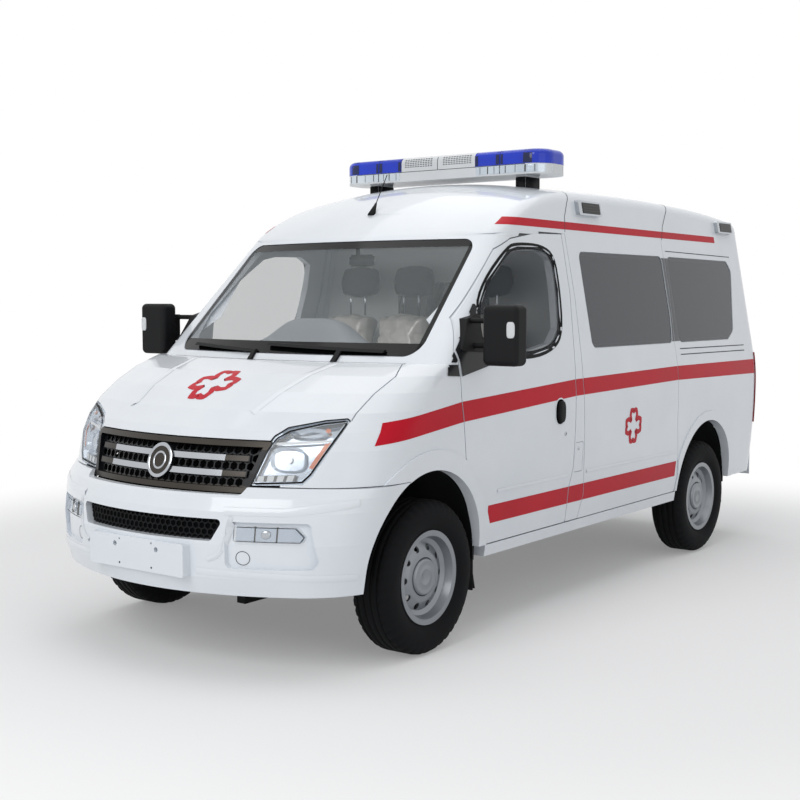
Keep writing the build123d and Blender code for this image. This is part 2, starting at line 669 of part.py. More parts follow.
save("wheel_housings", both(Compound(children=liners)))

flaps = []
# each hangs on the back of a housing's leg: station, top, bend, foot, sweep back
for x, top, bend, foot, sweep in ((-409, 438, 380, 225, 39), (-3524, 458, 412, 265, 26)):
    front = ((x, top), (x, bend), (x - sweep, foot))
    outline = front + ((x - sweep - 8, foot), (x - 8, bend), (x - 8, top))
    flaps.append(side_prism(outline, 760, 903))
save("mud_flaps", both(Compound(children=flaps)))

# ---- cab: firewall, dashboard, steering wheel, seats and partition
firewall = box(st(-100), st(-72), -850, 850, FLOOR_Z, 1190) - FRONT_WELL - mirrored(FRONT_WELL)
DASH_OUTLINE = (
    (-100, 1290), (-420, 1268), (-560, 1215), (-590, 1120), (-540, 930), (-430, 860), (-300, 960),
    (-100, 1000),
)
dash = side_prism(DASH_OUTLINE, -850, 850, radius=20)
hood = side_prism(((-420, 1262), (-440, 1302), (-600, 1290), (-610, 1240), (-560, 1205)), 250, 610, radius=12)

SEAT_OUTLINE = (
    (-690, 960), (-690, 860), (-1130, 800), (-1330, 1500), (-1240, 1530), (-1090, 960),
)
seats = []
for y0, y1 in ((190, 690), (-690, -190)):
    seat = side_prism(SEAT_OUTLINE, y0, y1, radius=30)
    mid_y = (y0 + y1) / 2
    base = box(st(-1120), st(-740), y0 + 50, y1 - 50, FLOOR_Z, 830)
    head = side_prism(
        ((-1370, 1560), (-1290, 1560), (-1300, 1740), (-1380, 1740)), mid_y - 125, mid_y + 125, radius=25
    )
    stays = side_prism(((-1345, 1480), (-1315, 1480), (-1335, 1600), (-1355, 1600)), mid_y - 60, mid_y + 60)
    seats.append(solid_of(seat + base + head + stays))
save("seats", Compound(children=seats))

WHEEL_HUB = (-695, 440, 1190)
WHEEL_TILT = 32
STEER_R = 192
steer_plane = Plane(
    origin=(st(WHEEL_HUB[0]), WHEEL_HUB[1], WHEEL_HUB[2]),
    x_dir=(0, 1, 0),
    z_dir=(-sin(radians(90 - WHEEL_TILT)), 0, cos(radians(90 - WHEEL_TILT))),
)
steer_rim = steer_plane * Torus(STEER_R, 15)
hub = steer_plane * (Pos(0, 0, -22) * Cylinder(62, 50))
spokes = steer_plane * (Pos(0, 0, -4) * Box(2 * STEER_R, 34, 16)) + steer_plane * (
    Pos(0, 0, 0) * Rot(0, 0, 90) * Pos(-STEER_R / 2, 0, -4) * Box(STEER_R, 30, 16)
)
save("steering_wheel", solid_of(steer_rim + hub + spokes))
column = steer_plane * (Pos(0, 0, -112) * Cylinder(30, 120))
save("dashboard", solid_of(dash + hood + column))

PARTITION_X = -1500
partition = INNER & box(st(PARTITION_X), st(PARTITION_X + 28), -1300, 1300, FLOOR_Z, 2500)
hatch = front_prism(((-330, 1420), (330, 1420), (330, 1760), (-330, 1760)), st(-1600), st(-1400), radius=40)
save("bulkheads", Compound(children=[solid_of(firewall), solid_of(partition - hatch)]))

# ---- load space: bench, cupboard and stretcher
bench = box(st(-2600), st(-1640), -880, -480, FLOOR_Z, 1010)
bench = fillet(bench.edges().filter_by(Axis.X).sort_by(Axis.Z)[-2:], 30)
cupboard = box(st(-2560), st(-1560), 500, 880, FLOOR_Z, 1340)
cupboard = chamfer(cupboard.edges().filter_by(Axis.X).sort_by(Axis.Z)[-1:], 20)
save("load_space_units", Compound(children=[solid_of(bench), solid_of(cupboard)]))
bed = box(st(-3700), st(-2800), -230, 310, 820, 920)
bed = fillet(bed.edges().filter_by(Axis.Z), 60)
bed_leg = box(st(-3600), st(-2900), -180, 260, FLOOR_Z, 830)
save("stretcher", solid_of(bed + bed_leg))

# ---- under the nose and the floor
save("engine", box(st(-20), st(520), -380, 380, 350, 1010))
HUB_END = 883
subframe = box(st(-260), st(300), -430, 430, 270, 350)
for side in (1, -1):
    subframe = subframe + box(st(-60), st(60), side * 400, side * 718, 232, 262)
    subframe = subframe + box(st(-60), st(60), side * 400, side * 430, 232, 350)
    subframe = subframe + box(st(290), st(700), side * 380, side * 430, 300, 360)
    subframe = subframe + box(st(-290), st(-250), side * 390, side * 510, 300, RAIL_FOOT)
    subframe = subframe + Pos(st(0), side * 655, 738) * Cylinder(48, 276)
    subframe = subframe + Pos(st(0), side * 655, 430) * Cylinder(24, 360)
# radiator panel on the front arms, with the stays that hold the grille
subframe = subframe + box(st(625), st(675), -430, 430, 350, 1034)
stay = nose_form(GRILLE_DEPTH) & box(st(660), st(1000), -30, 30, 1014, 1034)
subframe = subframe + stay - grille - liners[0] - mirrored(liners[0])
save("front_subframe", solid_of(subframe))
knuckle = across(st(0), TYRE_R, 60, 738, HUB_END)
knuckle = knuckle + box(st(-22), st(22), 745, 790, 245, TYRE_R)
knuckle = knuckle + Pos(st(0), 752, 262) * Cylinder(24, 30)
save_pair("knuckle", solid_of(knuckle))

axle_beam = across(st(-WHEELBASE), TYRE_R, 36, -742, 742)
for side in (1, -1):
    leaf = make_face(
        [
            ThreePointArc((st(-3720), 430), (st(-WHEELBASE), 330), (st(-2520), 430)),
            Line((st(-2520), 430), (st(-2520), 458)),
            ThreePointArc((st(-2520), 458), (st(-WHEELBASE), 372), (st(-3720), 458)),
            Line((st(-3720), 458), (st(-3720), 430)),
        ]
    )
    plane = Plane(origin=(0, side * RAIL_Y + 35, 0), x_dir=(1, 0, 0), z_dir=(0, -1, 0))
    axle_beam = axle_beam + extrude(plane * leaf, 70)
    axle_beam = axle_beam + across(st(-WHEELBASE), TYRE_R, 60, side * 738, side * HUB_END)
    # shackles from the spring's ends to the rail
    for x in (-3720, -2550):
        axle_beam = axle_beam + box(st(x), st(x + 30), side * RAIL_Y - 35, side * RAIL_Y + 35, 440, RAIL_FOOT)
save("rear_axle", solid_of(axle_beam))
muffler = along(st(-2450), st(-1900), -250, 300, 85)
muffler = muffler + along(st(-3930), st(-2440), -250, 290, 26) + along(st(-1910), st(-400), -250, 290, 26)
for x in (-2190, -3700):
    muffler = muffler + box(st(x - 10), st(x + 10), -260, -240, 300, FLOOR_Z - FLOOR_T)
save("exhaust", solid_of(muffler))
tank = box(st(-2350), st(-1500), 150, 420, 300, FLOOR_Z - FLOOR_T)
save("fuel_tank", fillet(tank.edges().filter_by(Axis.X), 40))

# ---- roof equipment
BAR_X = (-1720, -1410)
BAR_HALF = 720
BAR_FOOT_Z = 2362
BAR_SPLIT_Z = 2420
BAR_TOP_Z = 2505
bar_tray = box(st(BAR_X[0]), st(BAR_X[1]), -BAR_HALF, BAR_HALF, BAR_FOOT_Z, BAR_SPLIT_Z)
bar_tray = fillet(bar_tray.edges().filter_by(Axis.Z), 120)
centre_half = 262
bar_mid = box(st(BAR_X[0] + 4), st(BAR_X[1] - 4), -centre_half, centre_half, BAR_SPLIT_Z - 1, BAR_TOP_Z)
bar_mid = fillet(bar_mid.edges().filter_by(Axis.Y).sort_by(Axis.Z)[-2:], 40)
feet = []
for y in (-525, 525):
    feet.append(box(st(-1640), st(-1490), y - 30, y + 30, 2285, BAR_FOOT_Z + 2))
bar_base = fused(bar_tray, bar_mid, *feet) - OUTER
save("lightbar_base", solid_of(bar_base))
domes = []
for y0, y1, rounding in ((centre_half + 3, 430, 0), (433, BAR_HALF - 1, 110)):
    dome = box(st(BAR_X[0] + 2), st(BAR_X[1] - 2), y0, y1, BAR_SPLIT_Z + 0.5, BAR_TOP_Z - 2)
    if rounding:
        ends = dome.edges().filter_by(Axis.Z).sort_by(Axis.Y)[-2:]
        dome = fillet(ends, rounding)
    top = [e for e in dome.edges() if e.center().Z > BAR_TOP_Z - 4 and abs(e.center().Y - y0) > 1]
    if rounding:
        dome = fillet(top, 34)
    else:
        dome = fillet(dome.edges().filter_by(Axis.Y).sort_by(Axis.Z)[-2:], 34)
    domes.append(solid_of(dome))
save("lightbar_domes", both(Compound(children=domes)))

strobes = []
for outline in (
    ((-1585, 2216), (-1585, 2134), (-1850, 2134), (-1850, 2216)),
    ((-3525, 2190), (-3525, 2110), (-3775, 2110), (-3775, 2190)),
):
    lamp = (side_form(-26) & side_prism(outline, 500, 1200, radius=10)) - OUTER
    strobes.append(solid_of(lamp))
save("side_strobes", both(Compound(children=strobes)))

mast = Plane(origin=(st(-735), 0, 2046), z_dir=Vector(-0.62, 0, 1).normalized())
mast_form = mast * Cylinder(16, 24) + mast * Pos(0, 0, 180) * Cylinder(2.5, 360)
save("antenna", solid_of(mast_form - OUTER))

# ---- wipers: arms and blades lying on the windscreen
wipers = []
for outline in (
    ((-640, 1418), (-636, 1432), (-118, 1410), (-108, BELT_Z), (-132, BELT_Z), (-136, 1396)),
    ((-60, 1430), (-56, 1444), (640, 1420), (640, 1406), (414, 1412), (414, BELT_Z), (390, BELT_Z), (388, 1414)),
):
    blade = screen_form(-16) & front_prism(outline, st(-600), st(400))
    wipers.append(solid_of(blade - screen_form(-3)))
save("wipers", Compound(children=wipers))

# ---- mirrors on the front doors
head = box(st(-345), st(-235), 1075, 1268, 1350, 1636)
head = fillet(head.edges(), 28)
arms = across(st(-352), 1440, 13, 930, 1085) + across(st(-352), 1560, 13, 900, 1085)
arms = arms + box(st(-365), st(-320), 1075, 1100, 1425, 1575)
SAIL_OUTLINE = ((-232, 1418), (-428, 1406), (-424, 1596), (-322, 1570))
foot = side_form(-8) & screen_form(-8) & side_prism(SAIL_OUTLINE, 800, 1100, radius=8)
save_pair("mirror", solid_of(fused(head, arms, foot) - OUTER))

# ---- wheels
TYRE_PROFILE = (
    (-84, RIM_R), (-84, RIM_LIP_R + 1), (-104, 250), (-107, 290), (-102, 330), (-88, 352),
    (-70, TYRE_R - 2), (0, TYRE_R), (70, TYRE_R - 2), (88, 352), (102, 330), (107, 290), (104, 250),
    (84, RIM_LIP_R + 1), (84, RIM_R),
)
RIM_PROFILE = (
    (-90, 190), (-92, RIM_LIP_R), (-84, RIM_LIP_R), (-84, 202), (-82, 200), (-20, 196), (60, 196),
    (82, 200), (84, 202), (84, RIM_LIP_R), (92, RIM_LIP_R), (90, 196), (74, 190), (52, 182), (40, 160), (58, 118),
    (60, 92), (46, 84), (46, 0), (34, 0), (34, 92), (46, 118), (28, 160), (30, 186), (-80, 190),
)
VENTS = 10
VENT_R = 16
VENT_CIRCLE = 141


def turned(profile):
    """A profile of (distance outward, radius) points turned about the wheel's axle."""
    face = make_face(Polyline(*[(r, y, 0) for y, r in profile], close=True))
    return revolve(face, Axis((0, 0, 0), (0, 1, 0)))


TYRE_SIDES = 40


def flat_sided(profile, sides):
    """A profile carried round the wheel's axle in straight, mitred lengths."""
    face = make_face(Polyline(*[(r, y, 0) for y, r in profile], close=True))
    half_turn = radians(180 / sides)
    half_length = 1.2 * TYRE_R * half_turn
    length = extrude(face.moved(Location((0, 0, -half_length))), 2 * half_length, dir=(0, 0, 1))
    reach = 2 * TYRE_R
    spread = reach * sin(half_turn) / cos(half_turn)
    wedge = make_face(Polyline((0, 0, 0), (reach, 0, spread), (reach, 0, -spread), close=True))
    piece = length & extrude(wedge, WHEEL_Y, both=True, dir=(0, 1, 0))
    pieces = [Rot(0, 360 / sides * n, 0) * piece for n in range(sides)]
    return pieces[0].fuse(*pieces[1:])


tyre_ring = flat_sided(TYRE_PROFILE, TYRE_SIDES)
rim_disc = turned(RIM_PROFILE)
for n in range(VENTS):
    turn = 360 / VENTS * n
    vent = Rot(0, turn, 0) * Pos(VENT_CIRCLE, 50, 0) * Rot(90, 0, 0) * Cylinder(VENT_R, 90)
    rim_disc = rim_disc - vent
rim_disc = rim_disc + Pos(0, 50, 0) * Rot(90, 0, 0) * Cylinder(62, 30)
for end, x in (("front", st(0)), ("rear", st(-WHEELBASE))):
    place = Pos(x, WHEEL_Y, TYRE_R)
    save_pair(f"{end}_tyre", solid_of(place * tyre_ring))
    save_pair(f"{end}_rim", solid_of(place * rim_disc))
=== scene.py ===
"""Dresses an ambulance van: finishes, stripes, glass borders, tyres, seats, lamps and a plain studio."""

import json
import logging
import math
from dataclasses import dataclass, field
from enum import Enum

import bmesh
import bpy
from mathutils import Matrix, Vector, noise
from mathutils.bvhtree import BVHTree
from mathutils.geometry import delaunay_2d_cdt

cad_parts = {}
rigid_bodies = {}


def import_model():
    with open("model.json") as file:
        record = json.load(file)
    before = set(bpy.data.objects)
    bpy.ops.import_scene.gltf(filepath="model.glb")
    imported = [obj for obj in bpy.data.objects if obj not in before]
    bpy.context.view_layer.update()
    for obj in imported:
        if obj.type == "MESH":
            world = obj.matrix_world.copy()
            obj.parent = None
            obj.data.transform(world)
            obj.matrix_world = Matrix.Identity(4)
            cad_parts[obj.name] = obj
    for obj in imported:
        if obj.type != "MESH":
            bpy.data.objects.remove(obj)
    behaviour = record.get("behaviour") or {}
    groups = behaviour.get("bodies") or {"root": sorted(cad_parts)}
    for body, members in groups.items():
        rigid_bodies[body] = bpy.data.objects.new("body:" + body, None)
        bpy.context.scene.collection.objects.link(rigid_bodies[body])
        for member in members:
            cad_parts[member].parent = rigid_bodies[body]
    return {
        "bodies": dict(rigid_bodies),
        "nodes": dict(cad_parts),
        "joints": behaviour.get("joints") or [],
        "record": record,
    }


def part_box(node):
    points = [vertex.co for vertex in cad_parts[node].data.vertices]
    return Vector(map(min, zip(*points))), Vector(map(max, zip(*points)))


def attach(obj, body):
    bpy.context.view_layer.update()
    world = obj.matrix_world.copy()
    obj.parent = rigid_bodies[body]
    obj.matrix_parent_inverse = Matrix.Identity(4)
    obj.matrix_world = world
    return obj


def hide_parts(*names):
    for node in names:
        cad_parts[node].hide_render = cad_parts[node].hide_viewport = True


LOG = logging.getLogger("ambulance")

FRONT_AXLE = 1.515
Point = tuple[float, float]
Spot = tuple[float, float, float]


def st(x: float) -> float:
    """X of a station given in metres ahead of the front axle."""
    return FRONT_AXLE + x


# how far the headlamps' flat view is turned outward from straight ahead
LAMP_TURN = math.radians(37)
LAMP_COS, LAMP_SIN = math.cos(LAMP_TURN), math.sin(LAMP_TURN)
# how far films cut from a node, and films laid on one, stand off its surface
PATCH_LIFT = 0.0008
FILM_LIFT = 0.0009
# the least share of its own direction that a face has to turn towards the viewer to take a patch
LEAST_FACING = 0.2
# sides of a turned piece
TURNED_SIDES = 64


class Facing(Enum):
    """A side to lay pieces on: its outward direction, the two axes of its flat view, and their origin."""

    LEFT = ((0.0, 1.0, 0.0), (1.0, 0.0, 0.0), (0.0, 0.0, 1.0), 0.0)
    RIGHT = ((0.0, -1.0, 0.0), (1.0, 0.0, 0.0), (0.0, 0.0, 1.0), 0.0)
    FRONT = ((1.0, 0.0, 0.0), (0.0, 1.0, 0.0), (0.0, 0.0, 1.0), 0.0)
    REAR = ((-1.0, 0.0, 0.0), (0.0, 1.0, 0.0), (0.0, 0.0, 1.0), 0.0)
    TOP = ((0.0, 0.0, 1.0), (1.0, 0.0, 0.0), (0.0, 1.0, 0.0), 0.0)
    LAMP_LEFT = ((LAMP_COS, LAMP_SIN, 0.0), (-LAMP_SIN, LAMP_COS, 0.0), (0.0, 0.0, 1.0), FRONT_AXLE)
    LAMP_RIGHT = ((LAMP_COS, -LAMP_SIN, 0.0), (-LAMP_SIN, -LAMP_COS, 0.0), (0.0, 0.0, 1.0), FRONT_AXLE)

    @property
    def out(self) -> Vector:
        """The outward direction."""
        return Vector(self.value[0])

    @property
    def across(self) -> Vector:
        """The first axis of the flat view."""
        return Vector(self.value[1])

    @property
    def up(self) -> Vector:
        """The second axis of the flat view."""
        return Vector(self.value[2])

    def place(self, point: Point, depth: float = 0.0) -> Vector:
        """Turns a point of the flat view into one in space.

        Args:
            point: Its two distances along the flat view's axes.
            depth: How far outward it lies.

        Returns:
            The point in space.
        """
        origin = Vector((self.value[3], 0.0, 0.0))
        return origin + self.across * point[0] + self.up * point[1] + self.out * depth


class Relief(Enum):
    """The fine surface a material's bump draws."""

    ORANGE_PEEL = "orange peel"
    GRAIN = "moulded grain"
    WEAVE = "weave"
    BRUSHED = "brushed"
    CAST = "cast"


# ---------------------------------------------------------------- finishes
def linear(hex_colour: str) -> tuple[float, float, float, float]:
    """Turns an sRGB hex colour into linear values.

    Args:
        hex_colour: Six hex digits, without a leading sign.

    Returns:
        Linear red, green, blue and an alpha of 1.
    """
    parts = [int(hex_colour[i : i + 2], 16) / 255 for i in (0, 2, 4)]
    red, green, blue = [p / 12.92 if p <= 0.04045 else ((p + 0.055) / 1.055) ** 2.4 for p in parts]
    return red, green, blue, 1.0


def add_node(
    tree: bpy.types.NodeTree,
    kind: str,
    settings: dict[str, object] | None = None,
    links: dict[str, bpy.types.NodeSocket] | None = None,
) -> bpy.types.Node:
    """Adds one shader node with its settings and incoming links.

    Args:
        tree: The material's node tree.
        kind: The node's type name.
        settings: Values for input sockets, or for properties of the node.
        links: Output sockets to join to input sockets, by the input's name.

    Returns:
        The new node.
    """
    node = tree.nodes.new(kind)
    for name, value in (settings or {}).items():
        if name in node.inputs:
            node.inputs[name].default_value = value
        else:
            setattr(node, name, value)
    for name, socket in (links or {}).items():
        tree.links.new(socket, node.inputs[name])
    return node


@dataclass(frozen=True)
class Finish:
    """One real finish: its colours, gloss, relief and the real size of that relief."""

    name: str
    colour: str
    shade: str
    roughness: float
    relief: Relief
    size_mm: float
    height_mm: float
    metallic: float = 0.0
    coat: float = 0.0
    transmission: float = 0.0
    ior: float = 1.5
    sheen: float = 0.0
    alpha: float = 1.0
    specular: float = 0.5
    stretch: tuple[float, float, float] = (1.0, 1.0, 1.0)

    def material(self) -> bpy.types.Material:
        """Builds the material once and returns it.

        Returns:
            The shared material of this finish.
        """
        known = bpy.data.materials.get(self.name)
        if known:
            return known
        made = bpy.data.materials.new(self.name)
        made.use_nodes = True
        tree = made.node_tree
        tree.nodes.clear()
        place = add_node(tree, "ShaderNodeTexCoord")
        mapped = add_node(
            tree, "ShaderNodeMapping", {"Scale": self.stretch}, {"Vector": place.outputs["Object"]}
        )
        cloud = add_node(
            tree, "ShaderNodeTexNoise", {"Scale": 3.0, "Detail": 4.0}, {"Vector": mapped.outputs["Vector"]}
        )
        tint = add_node(tree, "ShaderNodeValToRGB", {}, {"Fac": cloud.outputs["Fac"]})
        tint.color_ramp.elements[0].position = 0.3
        tint.color_ramp.elements[0].color = linear(self.shade)
        tint.color_ramp.elements[1].position = 0.7
        tint.color_ramp.elements[1].color = linear(self.colour)
        rough = add_node(
            tree,
            "ShaderNodeMapRange",
            {"To Min": max(0.02, self.roughness - 0.04), "To Max": min(1.0, self.roughness + 0.04)},
            {"Value": cloud.outputs["Fac"]},
        )
        fine = self._relief(tree, mapped)
        bump = add_node(
            tree,
            "ShaderNodeBump",
            {"Strength": 0.35, "Distance": self.height_mm / 1000},
            {"Height": fine},
        )
        shader = add_node(
            tree,
            "ShaderNodeBsdfPrincipled",
            {
                "Metallic": self.metallic,
                "Coat Weight": self.coat,
                "Coat Roughness": 0.05,
                "Transmission Weight": self.transmission,
                "IOR": self.ior,
                "Sheen Weight": self.sheen,
                "Alpha": self.alpha,
                "Specular IOR Level": self.specular,
            },
            {
                "Base Color": tint.outputs["Color"],
                "Roughness": rough.outputs["Result"],
                "Normal": bump.outputs["Normal"],
            },
        )
        add_node(tree, "ShaderNodeOutputMaterial", {}, {"Surface": shader.outputs["BSDF"]})
        return made

    def _relief(self, tree: bpy.types.NodeTree, mapped: bpy.types.Node) -> bpy.types.NodeSocket:
        """Adds the pattern that the bump reads.

        Args:
            tree: The material's node tree.
            mapped: The node that gives the scaled coordinates.

        Returns:
            The socket that holds the height.
        """
        scale = 1000 / self.size_mm
        vector = {"Vector": mapped.outputs["Vector"]}
        if self.relief is Relief.GRAIN:
            return add_node(tree, "ShaderNodeTexVoronoi", {"Scale": scale}, vector).outputs["Distance"]
        if self.relief is Relief.WEAVE:
            bands = scale / 6.28
            warp = add_node(tree, "ShaderNodeTexWave", {"Scale": bands, "bands_direction": "X"}, vector)
            weft = add_node(tree, "ShaderNodeTexWave", {"Scale": bands, "bands_direction": "Z"}, vector)
            both = add_node(tree, "ShaderNodeMath", {"operation": "MAXIMUM"})
            tree.links.new(warp.outputs["Fac"], both.inputs[0])
            tree.links.new(weft.outputs["Fac"], both.inputs[1])
            return both.outputs["Value"]
        detail = 6.0 if self.relief is Relief.CAST else 2.0
        rough = add_node(tree, "ShaderNodeTexNoise", {"Scale": scale, "Detail": detail}, vector)
        return rough.outputs["Fac"]


# Two-layer white enamel: a clear coat over pigment gives a sharp highlight on a soft white.
ENAMEL = Finish(
    "white_enamel", "E2E7ED", "DCE2E9", 0.32, Relief.ORANGE_PEEL, 6.0, 0.05, coat=0.7, specular=0.35
)
# Cast vinyl film: flatter than paint, with an even deep red.
VINYL = Finish(
    "crimson_vinyl_film", "C20A26", "B80922", 0.4, Relief.ORANGE_PEEL, 5.0, 0.03, specular=0.18
)
# Body-tinted tempered glass over a dark film: nearly black from outside, with a hard reflection.
PRIVACY = Finish(
    "privacy_glass", "0A0F16", "070B11", 0.04, Relief.ORANGE_PEEL, 400.0, 0.02,
    ior=1.52, specular=0.2,
)
# Tempered door glass: a grey-green tint that the cab shows through.
TEMPERED = Finish(
    "tempered_door_glass", "2A3640", "26323B", 0.03, Relief.ORANGE_PEEL, 400.0, 0.01,
    alpha=0.28, specular=0.35,
)
# Laminated windscreen glass: clear, with a pale colour at low alpha that paints a milky sky reflection.
LAMINATED = Finish(
    "laminated_glass", "DCE6EA", "D6E0E4", 0.03, Relief.ORANGE_PEEL, 400.0, 0.01,
    alpha=0.07, specular=0.8,
)
# Fired ceramic band round bonded glass: opaque black, glossy.
CERAMIC = Finish(
    "black_ceramic_band", "0B0C0D", "090A0B", 0.12, Relief.ORANGE_PEEL, 30.0, 0.01, specular=0.2
)
# Carbon-filled tyre rubber: dark grey and dull.
TYRE = Finish("tyre_rubber", "121315", "0E0F11", 0.82, Relief.CAST, 4.0, 0.2, specular=0.15)
# Silver-lacquered pressed steel.
SILVER = Finish(
    "silver_wheel_lacquer", "8F9398", "83878C", 0.36, Relief.ORANGE_PEEL, 4.0, 0.04,
    metallic=0.75, coat=0.2,
)
# Textured polypropylene: black with a leather-like mould grain.
POLYPROP = Finish(
    "grained_polypropylene", "111214", "0D0E10", 0.62, Relief.GRAIN, 3.0, 0.12, specular=0.2
)
# Charcoal ABS of the grille, smoother than the trim.
CHARCOAL = Finish(
    "charcoal_abs", "15171A", "111316", 0.34, Relief.ORANGE_PEEL, 5.0, 0.03, specular=0.3
)
# Chrome plating on plastic: mirror-bright, a touch cool.
CHROME = Finish(
    "chrome_plating", "B9BDC2", "AEB2B7", 0.16, Relief.ORANGE_PEEL, 40.0, 0.01, metallic=1.0
)
# Moulded polycarbonate lens: clear and glossy, drawn as a thin cover so that what is behind it stays lit.
CLEAR = Finish(
    "clear_polycarbonate", "EDF2F6", "E8EEF2", 0.04, Relief.ORANGE_PEEL, 300.0, 0.01,
    ior=1.58, alpha=0.14,
)
# Vacuum-metallised reflector: bright aluminium under lacquer.
REFLECTOR = Finish(
    "metallised_reflector", "C2CBD6", "A9B4C1", 0.16, Relief.BRUSHED, 18.0, 0.3, metallic=1.0
)
# Clear lens with moulded ribs over a bright tray.
RIBBED = Finish(
    "ribbed_clear_lens", "D3DCE4", "AEBAC6", 0.12, Relief.BRUSHED, 14.0, 0.8, metallic=0.6, coat=0.8
)
# Matt black painted shade in holes, slots and recesses, and behind openings.
SHADE_BLACK = Finish("matt_black_backing", "08090A", "060708", 0.9, Relief.CAST, 5.0, 0.1, specular=0.05)
# Shadow gap between panels.
GAP_SHADOW = Finish("panel_gap_shadow", "3A4046", "32373C", 0.8, Relief.CAST, 4.0, 0.05)
# Smoked chrome of the grille's frame.
SMOKED = Finish("smoked_chrome", "45413D", "3A3733", 0.3, Relief.BRUSHED, 6.0, 0.03, metallic=0.85)
# EPDM seal round the door glass.
EPDM = Finish("epdm_rubber_seal", "0B0C0E", "09090B", 0.6, Relief.CAST, 2.0, 0.05, specular=0.15)
# Mirror glass: silvered float glass.
MIRROR = Finish(
    "silvered_mirror_glass", "C8CDD2", "C2C7CC", 0.03, Relief.ORANGE_PEEL, 400.0, 0.01, metallic=1.0
)
# Polythene delivery cover over new seats: pale, crinkled, glossy.
POLYTHENE = Finish("crinkled_polythene", "D6D2CA", "B4B0A8", 0.24, Relief.CAST, 26.0, 5.0, coat=0.7)
# Headrest cloth, darker than the dash.
DARK_CLOTH = Finish(
    "charcoal_seat_cloth", "2E3238", "26292E", 0.92, Relief.WEAVE, 4.0, 0.5, sheen=0.25
)
# Dyed polycarbonate domes: saturated blue, with moulded ribs.
BLUE = Finish(
    "blue_polycarbonate", "0638D2", "052CB0", 0.08, Relief.BRUSHED, 16.0, 0.5,
    coat=0.25, ior=1.58, specular=0.25,
)
# The same plastic, darker: painted shade on stretches of the domes.
SHADED_BLUE = Finish(
    "deep_blue_polycarbonate", "061A56", "04123E", 0.08, Relief.BRUSHED, 9.0, 0.4,
    coat=0.3, specular=0.3,
)
RED = Finish(
    "red_acrylic", "A0121A", "8E0F16", 0.12, Relief.BRUSHED, 8.0, 0.2, transmission=0.25, ior=1.49
)
AMBER = Finish(
    "amber_acrylic", "F0761C", "E66A12", 0.14, Relief.BRUSHED, 6.0, 0.1, transmission=0.2, ior=1.49
)
# Moulded light-bar tray: pale, satin.
PALE_ABS = Finish("pale_abs", "D9DCDE", "D2D5D8", 0.3, Relief.ORANGE_PEEL, 6.0, 0.03, coat=0.2)
# Dashboard skin and inner trim.
CAB_GREY = Finish("grey_cab_trim", "8C9196", "80858A", 0.66, Relief.GRAIN, 2.5, 0.12)
# Woven seat cloth, thread spacing drawn at 4 mm so that it shows.
CLOTH = Finish("woven_seat_cloth", "5E6167", "4F5257", 0.9, Relief.WEAVE, 4.0, 0.5, sheen=0.3)
LAMINATE = Finish("white_laminate_panel", "D5D8D8", "CED1D1", 0.42, Relief.GRAIN, 2.0, 0.03)
# Stone-chip coating on chassis steel.
UNDERSEAL = Finish(
    "black_underbody_coating", "101112", "0C0D0E", 0.7, Relief.CAST, 8.0, 0.6, specular=0.15
)
IRON = Finish("cast_iron", "4A4B4D", "3E3F41", 0.6, Relief.CAST, 3.0, 0.4, metallic=0.6)
STEEL = Finish(
    "brushed_steel", "9A9DA0", "8D9093", 0.38, Relief.BRUSHED, 2.0, 0.04,
    metallic=0.9, stretch=(0.1, 1.0, 1.0),
)

NODE_FINISH: tuple[tuple[Finish, tuple[str, ...]], ...] = (
    (
        ENAMEL,
        (
            "front_door_left", "front_door_right", "mid_panel_left", "sliding_door_right",
            "quarter_panels", "sills", "rear_door_left", "rear_door_right", "door_posts", "fuel_flap",
            "roof", "windscreen_frame", "bonnet", "front_fenders", "front_bumper", "rear_bumper",
        ),
    ),
    (PRIVACY, ("fixed_side_glass", "rear_door_glass_left", "rear_door_glass_right")),
    (TEMPERED, ("front_door_glass_left", "front_door_glass_right")),
    (LAMINATED, ("windscreen",)),
    (
        POLYPROP,
        (
            "cowl", "wheel_housings", "mud_flaps", "wipers", "mirror_left", "mirror_right", "antenna",
            "steering_wheel",
        ),
    ),
    (CHARCOAL, ("grille", "lower_grille")),
    (REFLECTOR, ("headlamp_housings",)),
    (CHROME, ("side_strobes",)),
    (CLEAR, ("headlamp_lenses", "fog_lamps")),
    (RED, ("tail_lamps",)),
    (BLUE, ("lightbar_domes",)),
    (PALE_ABS, ("lightbar_base",)),
    (STEEL, ("exhaust",)),
    (CAB_GREY, ("dashboard",)),
    (LAMINATE, ("bulkheads", "load_space_units")),
    (UNDERSEAL, ("floor", "front_subframe", "rear_axle", "fuel_tank")),
    (IRON, ("engine", "knuckle_left", "knuckle_right")),
    (SILVER, ("front_rim_left", "front_rim_right", "rear_rim_left", "rear_rim_right")),
    (TYRE, ("front_tyre_left", "front_tyre_right", "rear_tyre_left", "rear_tyre_right")),
    (CLOTH, ("seats", "stretcher")),
)


